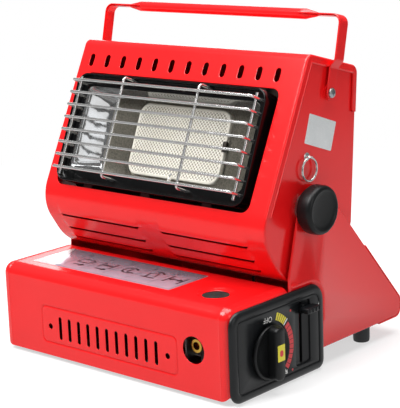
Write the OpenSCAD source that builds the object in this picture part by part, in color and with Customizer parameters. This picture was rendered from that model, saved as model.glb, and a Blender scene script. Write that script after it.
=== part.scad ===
// Portable propane heater: a radiant burner head that tilts between two wings
// of a sheet-metal base, with a cartridge bay under a fold-down front cover.
// X runs along the front, Y to the rear and Z up, in millimetres.
// The origin is on the table, below the middle of the whole heater.

/* [Base] */
// Length of the front box and its cover
case_w = 265; // [245:1:320]
// Depth of the whole heater, from the cover's face to the rear cover
depth = 240.5; // [225:0.5:290]
// Height of the front box
box_h = 79.6; // [76:0.1:96]
// Depth of the front box's top
box_d = 77.7; // [76:0.1:95]
// Radius of the cover's bend between front and top
cover_bend = 10; // [6:0.5:14]
// Radius that the cover's two ends are rounded with
cover_end_r = 8; // [4:0.5:9]
// Thickness of all pressed sheet parts
sheet = 1; // [0.8:0.1:1.2]
// Height of the wings' lower edge over the table
wing_foot = 16.4; // [14:0.1:20]
// Diameter of a rubber foot
foot_d = 16; // [12:0.5:20]
// Gap left between parts that move past each other
gap = 0.3; // [0.3:0.05:0.5]

/* [Tilt] */
// Distance of the tilt axis behind the front box's top edge
pivot_back = 29.4; // [28:0.1:36]
// Height of the tilt axis over the front box's top
pivot_rise = 61.4; // [61:0.1:74]
// Diameter of the bolts that the head tilts on
bolt_d = 8; // [6:0.5:10]
// Radial running clearance of a pin in its hole
run = 0.06; // [0.02:0.01:0.1]
// Diameter of a tilt clamp knob
tilt_knob_d = 41.2; // [34:0.1:49]
// How far a tilt knob stands out from its wing
tilt_knob_h = 15.9; // [14:0.1:19]
// Radius of the wing's rounded top
wing_top_r = 24; // [20:0.5:26]

/* [Head] */
// Gap between the head's side and a wing
wing_gap = 4.4; // [4.2:0.1:6]
// Lean of the head's front, back from upright
front_lean = 26.2; // [22:0.1:30]
// Distance of the head's front from the tilt axis
front_reach = 46.5; // [44:0.1:50]
// Distance of the louvred lower front from the tilt axis
louvre_reach = 55.2; // [53:0.1:58]
// Radius in which the head's underside swings past the base
swing_r = 64; // [60:0.1:66]
// Distance of the head's back from the tilt axis
back_reach = 68.9; // [66:0.1:80]
// Distance of the head's top from the tilt axis
top_reach = 124.1; // [118:0.1:148]
// How far the side plates sit inside the shell's edge
side_recess = 1.5; // [1:0.1:3]

/* [Burner] */
// Lean of the burner, back from upright
burner_lean = 23.1; // [20:0.1:30]
// Sideways place of the burner and its frame
burner_x = -3.5; // [-6:0.1:0]
// Height of the burner's middle over the tilt axis, up the head's front
burner_up = 34.1; // [31:0.1:40]
// Outside width of the burner frame
frame_w = 215.8; // [190:0.1:222]
// Outside height of the burner frame
frame_h = 97.4; // [90:0.1:100]
// How far the burner frame stands out of the head's front
frame_out = 7.5; // [6.5:0.1:9]
// Width of the radiant plaque
plaque_w = 106.6; // [90:0.1:128]
// Height of the radiant plaque
plaque_h = 65; // [54:0.1:67]
// Depth of the plaque's face behind the head's front
plaque_back = 21.5; // [19:0.1:24]
// Diameter of the guard's wires
wire_d = 2.5; // [2:0.1:3]
// Spacing of the guard's wires
wire_pitch = 11.4; // [9.5:0.1:12]
// How far the guard stands out of the head's front
guard_out = 20.5; // [17:0.1:24]

/* [Handle] */
// Length of the handle's arms, from screw to grip
handle_r = 64; // [54:0.5:76]
// Lean of the handle at rest, back from upright
handle_lean = 13; // [5:0.5:20]
// Width of the handle's strip
strap_w = 12; // [10:0.5:14]
// Thickness of the handle's strip
strap_t = 2; // [1.5:0.1:2.5]
// Diameter of the rolled grip
grip_d = 9; // [8:0.5:12]

/* [Gas] */
// Diameter of the gas cartridge that the bay takes
can_d = 68; // [66:0.5:70]
// Diameter of the gas knob
gas_knob_d = 45.2; // [38:0.1:46]
// Travel of the cartridge lock lever
lock_travel = 42; // [30:1:44]
// Travel of the collar yoke that the lever drives
yoke_travel = 6; // [4:0.5:7]
// Diameter of the gas hose
hose_d = 8; // [6:0.5:9]

/* [Hidden] */
$fn = 64;

RED = "#e8292a";
BLACK = "#202124";
STEEL = "#b9bcc0";
BRASS = "#c9a24b";
CREAM = "#e9e2cd";

front = -depth / 2;
wing_x = case_w / 2 + 0.4;
pivot_y = front + box_d + pivot_back;
pivot_z = box_h + pivot_rise;
head_x = wing_x - wing_gap;
side_x = head_x - side_recess;
bolt_r = bolt_d / 2;
arc_step = 6;

// The head's outline: each side's facing angle, its distance from the tilt axis
// and the radius of the corner where it meets the next side.
louvre_face = 215.3;
head_sides = [[180 - front_lean, front_reach, 24], [louvre_face, louvre_reach, 42], [270, swing_r, swing_r],
    [308, swing_r, 10], [355.6, back_reach, 8], [74.9, top_reach, 7]];
// Where the shell ends: under the head and on its back
shell_end_under = 290;
shell_end_back_z = pivot_z + 69;

can_y = front + 1.3 + 3.1 + can_d / 2;
can_z = 7 + can_d / 2;
knob_y = front + 46.6;
knob_z = 34.9;
lever_y = front + 90.5;
lever_z = 59.7;
panel_x = wing_x + 3.6;
pin_y = front + 4.8;
pin_z = 7.5;
cover_pin_r = 2;
hinge_x = case_w / 2 - 8;
screw_y = pivot_y + 35.8;
screw_z = pivot_z + 90.3;
screw_r = 2.5;
ring_r = 9.7;
ring_wire_r = 0.8;
lug_y = pivot_y + 5.5;
lug_z = pivot_z + 41.5;
tray_step_y = front + 118;
box_floor = 4.3;

// ---- Geometry helpers ----

// Point where the line facing a, p away from the origin, crosses the line facing b, q away
function meet(a, p, b, q) = [p * sin(b) - q * sin(a), q * cos(a) - p * cos(b)] / sin(b - a);

// Outline from a list of sides in turning order, drawn inwards by inset
function outline(sides, inset = 0) = [
    for (i = [0 : len(sides) - 1])
        let (a = sides[i], b = sides[(i + 1) % len(sides)], r = max(a[2] - inset, 0.2),
            turn = (b[0] - a[0] + 720) % 360, c = meet(a[0], a[1] - inset - r, b[0], b[1] - inset - r),
            n = ceil(turn / arc_step))
        for (k = [0 : n]) c + r * [cos(a[0] + turn * k / n), sin(a[0] + turn * k / n)]];

// Outline of a w by h rectangle with round corners
function round_rect(w, h, r, inset = 0) =
    outline([[0, w / 2, r], [90, h / 2, r], [180, w / 2, r], [270, h / 2, r]], inset);

// Extrudes a drawing of the YZ plane from x0 to x1
module across(x0, x1) translate([x0, 0, 0]) rotate([90, 0, 90]) linear_extrude(x1 - x0) children();

// Round bar along X
module rod(r, x0, x1, y, z) translate([x0, y, z]) rotate([0, 90, 0]) cylinder(r = r, h = x1 - x0);

// Turned part along X: profile points are [radius, x]
module turned(y, z, profile) translate([0, y, z]) rotate([0, 90, 0]) rotate_extrude() polygon(profile);

// Stadium slot of length l along the drawing's Y
module slot(l, w) {
    square([w, l - w], center = true);
    for (s = [-1, 1]) translate([0, s * (l - w) / 2]) circle(d = w, $fn = 24);
}

module both_sides() {
    children();
    mirror([1, 0, 0]) children();
}

// Frame on the head's front: X along it, Y up it from the tilt axis, Z out of it
module on_front() translate([0, pivot_y, pivot_z]) rotate([90 - front_lean, 0, 0])
    translate([0, 0, front_reach]) children();

// Frame at the burner's middle, which stands a little more upright
module on_burner() on_front() translate([burner_x, burner_up, 0])
    rotate([front_lean - burner_lean, 0, 0]) children();
// The same as a place: [x, up, out] of the burner as a point
function burner_at(x, up, out) = let (a = burner_lean, f = front_lean)
    [burner_x + x,
    pivot_y - front_reach * cos(f) + burner_up * sin(f) + up * sin(a) - out * cos(a),
    pivot_z + front_reach * sin(f) + burner_up * cos(f) + up * cos(a) + out * sin(a)];

// Solid between rings of the same number of points, all turning left about +X or +Z
module loft(rings) {
    m = len(rings[0]);
    n = len(rings);
    polyhedron([for (r = rings) each r], concat([[for (k = [0 : m - 1]) k]],
        [for (i = [0 : n - 2]) for (k = [0 : m - 1])
            let (a = i * m + k, b = i * m + (k + 1) % m) [a, a + m, b + m, b]],
        [[for (k = [m - 1 : -1 : 0]) (n - 1) * m + k]]));
}

// Sweeps a round tube of radius r along points
function unit(v) = v / norm(v);
function heading(path, i) =
    unit(path[min(i + 1, len(path) - 1)] - path[max(i - 1, 0)]);
function smooth(p, steps) = [
    for (i = [0 : len(p) - 2]) for (k = [0 : steps - 1])
        let (t = k / steps, a = p[max(i - 1, 0)], b = p[i], c = p[i + 1], d = p[min(i + 2, len(p) - 1)])
        0.5 * (2 * b + (c - a) * t + (2 * a - 5 * b + 4 * c - d) * t * t
            + (3 * b - a - 3 * c + d) * t * t * t),
    p[len(p) - 1]];
module tube(path, r, sides = 8) loft([for (i = [0 : len(path) - 1])
    let (h = heading(path, i), u = unit(cross(h, [0.9, 0.1, 0.2])), v = cross(h, u))
    [for (k = [0 : sides - 1]) path[i] + r * (u * cos(360 * k / sides) + v * sin(360 * k / sides))]]);

// ---- Base ----

module base_tray() color(RED) {
    in = wing_x - sheet;
    y0 = front + 12;
    y1 = front + depth - 30;
    across(-in, in) {
        translate([y0, box_floor]) square([tray_step_y - y0, sheet]);
        translate([tray_step_y - sheet, box_floor]) square([sheet, wing_foot - box_floor + sheet]);
        translate([tray_step_y - sheet, wing_foot]) square([y1 - tray_step_y + sheet, sheet]);
    }
}

// The wing's rear slope, shared with the sheet that covers it: it runs from the rear
// edge's upper end past the tilt axis
wing_rear_h = 15.87;
slope_reach = 26.3;
wing_rear = [front + depth - sheet - gap - pivot_y, wing_foot + wing_rear_h - pivot_z];
wing_slope = [atan2(wing_rear[1], wing_rear[0]) + acos(slope_reach / norm(wing_rear)), slope_reach];
function wing_sides(front_face, front_dist) = [
    [0, wing_rear[0], 6], concat(wing_slope, wing_top_r),
    [front_face, front_dist, 1], [270, pivot_z - wing_foot, 8]];
end_top = box_h - cover_end_r - gap;
end_front = front + cover_end_r + gap;
end_bend = max(cover_bend - cover_end_r - gap, 1);
box_end = [[0, (tray_step_y - end_front) / 2, 2], [90, (end_top - box_floor) / 2, end_bend],
    [180, (tray_step_y - end_front) / 2, 5], [270, (end_top - box_floor) / 2, 2]];
right_face = [165, 13.9];
left_face = [176, 16.4];

module wing_shape(face) difference() {
    union() {
        translate([pivot_y, pivot_z]) polygon(outline(wing_sides(face[0], face[1])));
        translate([(end_front + tray_step_y) / 2, (end_top + box_floor) / 2]) polygon(outline(box_end));
    }
    translate([pivot_y, pivot_z]) circle(bolt_r + run);
    // room for the cover's rear edge as it swings up
    translate([front, end_top]) square([box_d + 2 * gap, box_h + 12 - end_top]);
}

module right_wing() color(RED) difference() {
    across(wing_x - sheet, wing_x) wing_shape(right_face);
    rod(9, wing_x - 5, wing_x + 5, knob_y, knob_z);
    across(wing_x - 5, wing_x + 5) translate([lever_y, lever_z - lock_travel / 2]) slot(lock_travel + 16, 7);
}

module left_wing() color(RED) across(-wing_x, sheet - wing_x) wing_shape(left_face);

module rear_cover() color(RED) {
    inset = -sheet;
    sides = [[0, front + depth - sheet - pivot_y, 7.3], [wing_slope[0], wing_slope[1] + gap, 5],
        [180, 0, 1], [270, pivot_z - wing_foot + gap, 7.3]];
    across(-wing_x, wing_x) translate([pivot_y, pivot_z]) difference() {
        polygon(outline(sides, inset));
        polygon(outline(sides));
        // open above the sheet's top edge and in front of the rear feet
        rotate(-36) translate([-406, -200]) square([500, 900]);
        translate([-300, -200]) square([300 + rear_foot_y + foot_d / 2 + 1 - pivot_y, 100]);
    }
}

bay_top = box_h - sheet - gap;
module bay_wall() color(STEEL) difference() {
    union() {
        across(-wing_x + sheet, wing_x - sheet) translate([front + box_d - 2.2, box_floor + sheet])
            square([sheet, end_top - box_floor - sheet]);
        // the top follows the cover, whose ends are rounded
        across(-case_w / 2 + cover_end_r + gap, case_w / 2 - cover_end_r - gap) {
            translate([front + box_d - 2.2, box_floor + sheet]) square([sheet, bay_top - box_floor - sheet]);
            translate([front + box_d - 8, bay_top - sheet]) square([5.8 + sheet, sheet]);
        }
    }
    for (x = [hose_x, lead_x]) translate([x, front + box_d - 12, hose_z]) rotate([-90, 0, 0])
        cylinder(d = hose_d + 2, h = 20);
}

// Two saddles on a strip carry the cartridge
module can_cradle() color(STEEL) {
    for (x = [-88, 30]) difference() {
        across(x, x + 1.5) translate([can_y - 24, box_floor + sheet]) square([48, 12]);
        rod(can_d / 2 + 0.4, x - 1, x + 3, can_y, can_z);
    }
    translate([-86.5, can_y - 6, box_floor + sheet]) cube([116.5, 12, 1.2]);
}

valve_x = wing_x - 51;
shaft_r = 3;
module gas_valve() color("#8d9196") difference() {
    union() {
        translate([valve_x, knob_y - 22, knob_z - 14]) cube([42, 34, 34]);
        rod(13, valve_x + 42, wing_x - sheet, knob_y, knob_z);
        translate([valve_x + 8, knob_y - 18, box_floor + sheet]) cube([24, 26, knob_z - 14 - box_floor - sheet]);
        translate([hose_x, knob_y + 12, hose_z]) rotate([-90, 0, 0]) cylinder(r = hose_d / 2 + 1.5, h = 7);
    }
    rod(shaft_r + run, valve_x + 20, wing_x + 5, knob_y, knob_z);
    translate([hose_x, knob_y + 13, hose_z]) rotate([-90, 0, 0]) cylinder(r = hose_d / 2 + 0.05, h = 7);
}

// Threaded nose that the cartridge's collar seals on
module valve_socket() color(BRASS) turned(can_y, can_z, [[2.5, valve_x - 7], [8, valve_x - 7],
    [8, valve_x - 4], [11, valve_x - 4], [11, valve_x], [2.5, valve_x]]);

// Two pins that the collar yoke slides on
yoke_pins = [[can_y - 13, can_z - 13], [can_y + 13, can_z - 13]];
module yoke_guides() color(STEEL) for (p = yoke_pins) rod(2, valve_x - 11, valve_x, p[0], p[1]);

module gas_inlet() color(BRASS) translate([valve_x + 11.5, 0, can_z + 1.5]) rotate([90, 0, 0])
    translate([0, 0, -knob_y + 22]) rotate_extrude()
        polygon([[2, 0], [7.5, 0], [7.5, 4], [5, 4], [5, 6], [5.6, 6], [5.6, inlet_l], [3.4, inlet_l], [3.4, 6], [2, 6]]);
inlet_l = knob_y - 22 - front - 6.5;

igniter_y = knob_y + 17;
igniter_z = knob_z - 9;
// Piezo unit beside the valve, struck by the gas knob
module igniter() color("#d8d2c4") {
    rod(5, valve_x + 8, valve_x + 38, igniter_y, igniter_z);
    rod(2.2, valve_x + 2, valve_x + 8, igniter_y, igniter_z);
}

// Moulded panel: sloped rim round a flat face
panel_mid = [(front + 0.1 + tray_step_y + 3) / 2, (box_h - 2) / 2];
panel_half = [panel_mid[0] - front - 0.1, panel_mid[1] - 1];
panel_sides = [[0, panel_half[0], 16], [90, panel_half[1], 12], [180, panel_half[0], 12], [270, panel_half[1], 8]];
function panel_ring(inset, x) = [for (p = outline(panel_sides, inset)) [x, p[0] + panel_mid[0], p[1] + panel_mid[1]]];
module control_panel() color(BLACK) difference() {
    loft([panel_ring(0, wing_x), panel_ring(0.3, wing_x + 1.4), panel_ring(1.2, panel_x - 0.9),
        panel_ring(3.4, panel_x)]);
    rod(7, wing_x - 1, panel_x + 1, knob_y, knob_z);
    // channel for the lever's tab, with the slit that its blade runs in
    across(panel_x - 1.6, panel_x + 1) translate([lever_y - 9.5, lever_z - lock_travel - 6])
        square([22, lock_travel + 16]);
    across(wing_x - 1, panel_x + 1) translate([lever_y, lever_z - lock_travel / 2]) slot(lock_travel + 15, 3.6);
}

// Hinge pins of the cover, each on an arm of the tray
module cover_pins() color(STEEL) both_sides() {
    rod(cover_pin_r, hinge_x - 6, hinge_x, pin_y, pin_z);
    across(hinge_x - 1.5, hinge_x) {
        translate([pin_y, pin_z]) circle(3.5);
        translate([pin_y, box_floor + sheet]) square([front + 24 - pin_y, pin_z + 3.5 - box_floor - sheet]);
    }
}

module pivot_washers() color(STEEL) both_sides() difference() {
    rod(12, side_x + 0.1, wing_x - sheet - 0.1, pivot_y, pivot_z);
    rod(bolt_r + run, side_x - 1, wing_x, pivot_y, pivot_z);
}

rear_foot_y = front + depth - 42.5;
module rear_feet() color(BLACK) both_sides() translate([wing_x - 14, rear_foot_y, 0])
    cylinder(d1 = foot_d - 1.5, d2 = foot_d, h = wing_foot);
module front_feet() color(BLACK) both_sides() translate([wing_x - 14, front + 24, 0])
    cylinder(d1 = foot_d - 1, d2 = foot_d, h = box_floor);

// ---- Canister cover ----

vent_count = 11;
vent_pitch = 11.35;
cover_low = 3.6;
end_steps = 6;
// Cover's section at x, drawn inwards by inset and over its open edges by over
function cover_ring(x, inset, over) = let (r = max(cover_bend - inset, 0.2))
    concat([[x, front + inset, cover_low - over], [x, front + box_d + over, cover_low - over],
        [x, front + box_d + over, box_h - inset]],
        [for (a = [90 : arc_step : 180])
            [x, front + inset + r + r * cos(a), box_h - inset - r + r * sin(a)]]);
// Block with rounded ends of radius r, inset by t
module cover_block(t, over) loft(concat(
    over > 0 ? [cover_ring(-case_w, cover_end_r, over)] : [],
    [for (k = [0 : end_steps]) let (a = 90 - 90 * k / end_steps, r = cover_end_r - t)
        cover_ring(-case_w / 2 + cover_end_r - r * sin(a), t + r * (1 - cos(a)), over)],
    [for (k = [0 : end_steps]) let (a = 90 * k / end_steps, r = cover_end_r - t)
        cover_ring(case_w / 2 - cover_end_r + r * sin(a), t + r * (1 - cos(a)), over)],
    over > 0 ? [cover_ring(case_w, cover_end_r, over)] : []));

module canister_cover() color(RED) {
    half = case_w / 2;
    difference() {
        intersection() {
            cover_block(0, 0);
            translate([0, front + box_d + 1, 0]) rotate([90, 0, 0]) linear_extrude(box_d + 2)
                polygon(outline([[0, half, 0.2], [90, box_h + 1, 0.2], [180, half, 6], [270, -cover_low, 6]]));
        }
        cover_block(sheet, 1);
        // vents, fixing holes and the hole for the gas inlet
        translate([-2.6, front + 5, 30.5]) rotate([90, 0, 0]) linear_extrude(10) {
            for (i = [0 : vent_count - 1]) translate([(i - (vent_count - 1) / 2) * vent_pitch, 0]) slot(20.4, 3.6);
        }
        for (x = [-71.7, 66.9]) translate([x, front + 5, 30.4]) rotate([90, 0, 0]) cylinder(r = 2.5, h = 10);
        translate([half - 37, front + 5, 41]) rotate([90, 0, 0]) cylinder(r = 11.4, h = 10);
        translate([half - 42, front + 35.6, box_h - 5]) cylinder(r = 11.3, h = 10);
    }
    // hinge ears
    both_sides() difference() {
        across(hinge_x - 4.5, hinge_x - 3.1) union() {
            translate([pin_y, pin_z]) circle(3.8);
            translate([front + 0.5, pin_z - 3.4]) square([3.6, 7.2]);
        }
        rod(cover_pin_r + run, hinge_x - 8, hinge_x, pin_y, pin_z);
    }
}

module label_plate() color(STEEL) translate([-111, front + 19, box_h])
    cube([165, 50, 0.3]);

// ---- Head ----

module head_outline(inset) translate([pivot_y, pivot_z]) polygon(outline(head_sides, inset));

slot_pitch = 19.6;
slot_count = 12;
slot_x = -5.6;
// Height of the head's top edge over the tilt axis, up the front
front_top = meet(74.9, top_reach, 180 - front_lean, front_reach) * [sin(front_lean), cos(front_lean)];

// Louvre rows run down the lower front, along its flat and on into the bend
louvre_l = 97;
louvre_x = [-62.5, 59.5];
louvre_down = [-7.4, 7.5, 22.2];
louvre_out = 2.2;
louvre_h = 6;
louvre_r = 42;
louvre_c = meet(louvre_face, louvre_reach - louvre_r, 270, swing_r - louvre_r);
louvre_flat = louvre_c * [-sin(louvre_face), cos(louvre_face)];
// Frame on the sheet, down mm below the flat's middle: Y up the sheet, Z out of it
module on_louvre(x, down) translate([x, pivot_y + louvre_c[0], pivot_z + louvre_c[1]])
    rotate([louvre_face - 90 + max(0, down - louvre_flat) / louvre_r * 180 / PI, 0, 0])
    translate([0, max(0, louvre_flat - down), louvre_r]) children();
// Drawing of a louvre's section, Y up and Z out, run along it
module louvre_section(l) translate([-l / 2, 0, 0]) rotate([90, 0, 90]) linear_extrude(l) children();

module head_shell() color(RED) {
    difference() {
        across(-head_x, head_x) difference() {
            head_outline(0);
            head_outline(sheet);
            // open under the rear and on the back, where the back plate closes the head
            translate([pivot_y, pivot_z]) polygon([[0, 0], 200 * [cos(shell_end_under), sin(shell_end_under)],
                [200, -200], [200, 69], [40, 69]]);
        }
        on_burner() translate([0.7, -0.7, -12]) linear_extrude(40) polygon(round_rect(frame_w + 8, frame_h + 7, 13));
        for (i = [0 : slot_count - 1]) on_front()
            translate([slot_x + (i - (slot_count - 1) / 2) * slot_pitch, front_top - 20, -5])
            linear_extrude(10) slot(11.6, 4.6);
        for (x = louvre_x, down = louvre_down) on_louvre(x, down) louvre_section(louvre_l)
            translate([-0.6, -3]) square([louvre_h, 6]);
    }
    // pressed-out lips, open below and closed at both ends
    for (x = louvre_x, down = louvre_down) on_louvre(x, down) difference() {
        louvre_section(louvre_l + 2) polygon([[0, -0.9], [0, louvre_out], [louvre_h + 0.6, -0.05], [louvre_h + 0.6, -0.9]]);
        louvre_section(louvre_l - 1) polygon([[-1, -2], [-1, louvre_out - 0.9], [0, louvre_out - 0.9],
            [louvre_h - 0.8, -1], [louvre_h - 0.8, -2]]);
    }
    // tabs that hold the burner frame in the opening
    for (x = [-74, -4, 66], s = [-1, 1]) on_front() translate([burner_x + x - 5,
        burner_up + s * (frame_h / 2 / cos(front_lean - burner_lean) + 0.06) - (s < 0 ? 6 : 0), -sheet])
        cube([10, 6, sheet]);
}

// Side plate with a flange that the shell is fixed to
module head_side() difference() {
    union() {
        across(side_x - sheet, side_x) head_outline(sheet + 0.05);
        across(side_x - 9, side_x - sheet) difference() {
            head_outline(sheet + 0.05);
            head_outline(2 * sheet + 0.05);
        }
        rod(6.5, side_x, side_x + 1.6, screw_y, screw_z);
    }
    rod(bolt_r, side_x - 12, side_x + 5, pivot_y, pivot_z);
    rod(screw_r, side_x - 12, side_x + 5, screw_y, screw_z);
}
module head_right_side() color(RED) head_side();
module head_left_side() color(RED) mirror([1, 0, 0]) head_side();

module head_back() color(STEEL) {
    in = side_x - 9;
    difference() {
        across(-in, in) intersection() {
            difference() {
                head_outline(sheet + 0.05);
                head_outline(2 * sheet + 0.05);
            }
            translate([pivot_y + 40, pivot_z - 24]) square([60, 116]);
        }
        for (z = [0 : 3], i = [-4 : 4]) translate([i * 24, pivot_y + 90, pivot_z + 6 + z * 14]) rotate([90, 0, 0])
            linear_extrude(60) rotate(90) slot(18, 4);
    }
}

module burner_frame() color(BLACK) on_burner() {
    difference() {
        translate([0, 0, -11]) linear_extrude(11 + frame_out) polygon(round_rect(frame_w, frame_h, 11));
        translate([0, 0, -12]) linear_extrude(30) polygon(round_rect(frame_w, frame_h, 11, 1.4));
    }
    linear_extrude(1.2) difference() {
        polygon(round_rect(frame_w, frame_h, 11, 1));
        polygon(round_rect(frame_w - 18, frame_h - 21, 6));
    }
}

guard_w = 206.4;
guard_rows = 8;
guard_low = -40.8;
guard_face = 1.2;
guard_bend = 3;
upright_x = [-43.3, 44.3];
upright_half = 44.5;
upright_mid = 0.6;
upright_out = guard_out - wire_d - 0.02;
// Straight wire along X, centred
module wire(l) rotate([0, 90, 0]) cylinder(d = wire_d, h = l, center = true, $fn = 20);
// End of a wire that is l long over its bends: it turns and runs down to the frame's face
module wire_leg(l, h) {
    translate([l / 2, 0, -h]) cylinder(d = wire_d, h = h - guard_bend, $fn = 20);
    translate([l / 2 - guard_bend, 0, -guard_bend]) rotate([90, 0, 0]) rotate_extrude(angle = 90, $fn = 40)
        translate([guard_bend, 0]) circle(d = wire_d, $fn = 20);
}
module at_rows() for (i = [0 : guard_rows - 1]) translate([0, guard_low + i * wire_pitch, guard_out]) children();
module at_uprights() for (x = upright_x) translate([x, upright_mid, upright_out]) rotate([0, 0, 90]) children();
module guard_bars() color(STEEL) on_burner() {
    at_rows() wire(guard_w - 2 * guard_bend);
    at_uprights() wire(2 * (upright_half - guard_bend));
    both_sides() translate([guard_w / 2 - wire_d - 0.02, -1, 10.5]) rotate([0, 0, 90]) wire(90);
}
module guard_legs() color(STEEL) on_burner() {
    at_rows() both_sides() wire_leg(guard_w, guard_out - guard_face);
    at_uprights() both_sides() wire_leg(2 * upright_half, upright_out - guard_face);
}

reflector_front = [frame_w - 18, frame_h - 21];
reflector_back = [136, 70];
reflector_t = 0.8;
reflector_z = -plaque_back - 1.4;
electrode_x = 3;
electrode_z = 4 - plaque_back;
function corners(size, z) = [for (c = [[-1, -1], [1, -1], [1, 1], [-1, 1]])
    [c[0] * size[0] / 2, c[1] * size[1] / 2, z]];
module funnel(back, mouth, h) loft([corners(back, 0), corners(mouth, h)]);
module reflector() color(STEEL) on_burner() difference() {
    grow = 2 * [reflector_t, reflector_t];
    translate([0, 0, reflector_z]) funnel(reflector_back + grow, reflector_front + grow, -reflector_z);
    translate([0, 0, reflector_z + reflector_t]) funnel(reflector_back, reflector_front, -reflector_z);
    translate([0, 0, -40]) linear_extrude(40) polygon(round_rect(plaque_w + 3, plaque_h + 3, 12));
    translate([electrode_x, -30, electrode_z]) rotate([90, 0, 0]) cylinder(r = 1.8, h = 20, $fn = 32);
}

burner_box_t = 1.5;
module burner_box() color("#9a9ea3") on_burner() difference() {
    translate([0, 0, -plaque_back - 27]) linear_extrude(25.6) polygon(round_rect(plaque_w + 9, plaque_h + 9, 14));
    translate([0, 0, -plaque_back - 27 + burner_box_t]) linear_extrude(30) polygon(round_rect(plaque_w + 5, plaque_h + 5, 12));
    translate([0, -plaque_h / 2 + 2, -plaque_back - 19]) rotate([90, 0, 0]) cylinder(r = 7.5, h = 12);
}

module burner_plaque() color(CREAM) on_burner() translate([0, 0, -plaque_back - 13]) linear_extrude(13)
    polygon(round_rect(plaque_w, plaque_h, 11));

module plaque_seal() color("#d7d3c8") on_burner() translate([0, 0, -plaque_back - 13]) linear_extrude(8) difference() {
    polygon(round_rect(plaque_w + 4.9, plaque_h + 4.9, 12));
    polygon(round_rect(plaque_w + 0.1, plaque_h + 0.1, 11));
}

tube_r = 9;
tube_up = -plaque_h / 2 - 4.5 - 16;
tube_in = -plaque_back - 19;
module mixing_tube() color(STEEL) on_burner() translate([0, tube_up, tube_in]) difference() {
    union() {
        rotate([0, 90, 0]) cylinder(r = tube_r, h = 84);
        rotate([-90, 0, 0]) cylinder(r = tube_r, h = 16);
        sphere(r = tube_r);
    }
    rotate([0, 90, 0]) cylinder(r = tube_r - 1, h = 90);
    rotate([-90, 0, 0]) cylinder(r = tube_r - 1, h = 20);
    for (a = [0, 180]) translate([72, 0, 0]) rotate([a, 0, 0]) translate([0, 0, 5]) cylinder(r = 4, h = 8);
}

// Jet in the tube's end, with an elbow down to the hose
jet_x = 99;
module gas_jet() color(BRASS) on_burner() translate([0, tube_up, tube_in]) difference() {
    union() {
        rotate([0, 90, 0]) rotate_extrude() polygon([[0, 78], [3.5, 78], [3.5, 84], [tube_r, 84], [tube_r, 88],
            [5, 88], [5, jet_x + 5], [0, jet_x + 5]]);
        translate([jet_x, 0, 0]) rotate([180, 0, 0]) cylinder(r = hose_d / 2 + 1.5, h = 16);
    }
    translate([0, 0, 0]) rotate([0, 90, 0]) cylinder(r = 0.6, h = jet_x);
    translate([jet_x, 0, -8]) rotate([180, 0, 0]) cylinder(r = hose_d / 2 + 0.05, h = 10);
    translate([jet_x, 0, 0]) rotate([180, 0, 0]) cylinder(r = 1.5, h = 10);
}

module burner_brackets() color(STEEL) on_burner() for (s = [-1, 1]) {
    inner = plaque_w / 2 + 4.5;
    outer = side_x - sheet - s * burner_x;
    translate([s > 0 ? inner : -outer, -8, -plaque_back - 27]) cube([outer - inner, 16, 1.5]);
}

module spark_electrode() color("#efece4") on_burner() translate([electrode_x, 0, electrode_z]) {
    translate([0, -31.5, 0]) rotate([90, 0, 0]) cylinder(r = 1.7, h = 14.5, $fn = 32);
    translate([0, -28.8, 0]) rotate([90, 0, 0]) cylinder(r = 0.6, h = 3, $fn = 16);
    translate([0, -28.8, 0]) sphere(r = 0.6, $fn = 16);
    translate([0, -28.8, -2]) cylinder(r = 0.6, h = 2, $fn = 16);
}

module pivot_bolts() color(STEEL) both_sides() {
    rod(bolt_r, side_x - sheet, wing_x + tilt_knob_h - 5, pivot_y, pivot_z);
    rod(9, side_x - sheet - 4, side_x - sheet, pivot_y, pivot_z);
}

strap_in = side_x + 1.9;
module handle_screws() color(STEEL) both_sides() {
    rod(screw_r, side_x - sheet, strap_in + strap_t + 0.1, screw_y, screw_z);
    rod(4.5, side_x - sheet - 3, side_x - sheet, screw_y, screw_z);
    turned(screw_y, screw_z, [[0, strap_in + strap_t + 0.1], [4.2, strap_in + strap_t + 0.1],
        [4.2, strap_in + strap_t + 1], [2.8, strap_in + strap_t + 2.2], [0, strap_in + strap_t + 2.5]]);
}

module ring_lug() color(STEEL) {
    rod(3.6, side_x, side_x + 0.8, lug_y, lug_z);
    difference() {
        translate([side_x + 3, lug_y, lug_z]) rotate([90, 0, 0]) rotate_extrude($fn = 32)
            translate([2.3, 0]) circle(r = 0.75, $fn = 16);
        translate([side_x - 5, lug_y - 4, lug_z - 5]) cube([5.2, 8, 10]);
    }
}

module side_label() color(STEEL) across(side_x, side_x + 0.3) translate([pivot_y + 24.7, pivot_z + 58.7])
    rotate(-19) square([37.8, 24.9], center = true);

// ---- Handle and ring ----

module handle() color(RED) translate([0, screw_y, screw_z]) rotate([-handle_lean, 0, 0]) {
    x1 = strap_in;
    x2 = wing_x + gap + 0.2;
    top = handle_r + strap_t / 2;
    bend = 8;
    roll = head_x - 36;
    both_sides() difference() {
        union() {
            translate([0, strap_w / 2, 0]) rotate([90, 0, 0]) linear_extrude(strap_w) polygon(concat(
                [[x1, 0], [x1 + strap_t, 0], [x1 + strap_t, 21], [x2 + strap_t, 27], [x2 + strap_t, top - bend]],
                [for (a = [0 : arc_step : 90]) [x2 + strap_t - bend + bend * cos(a), top - bend + bend * sin(a)]],
                [[roll, top], [roll, top - strap_t]],
                [for (a = [90 : -arc_step : 0]) [x2 + strap_t - bend + (bend - strap_t) * cos(a), top - bend + (bend - strap_t) * sin(a)]],
                [[x2, 27.6], [x1, 21.6]]));
            rod(strap_w / 2, x1, x1 + strap_t, 0, 0);
        }
        rod(screw_r + run, x1 - 5, x1 + 5, 0, 0);
    }
    rod(grip_d / 2, -roll - 3, roll + 3, 0, handle_r);
    both_sides() translate([roll + 3, 0, handle_r]) rotate([0, 90, 0]) cylinder(r1 = grip_d / 2, r2 = 1.2, h = 14);
}

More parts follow.
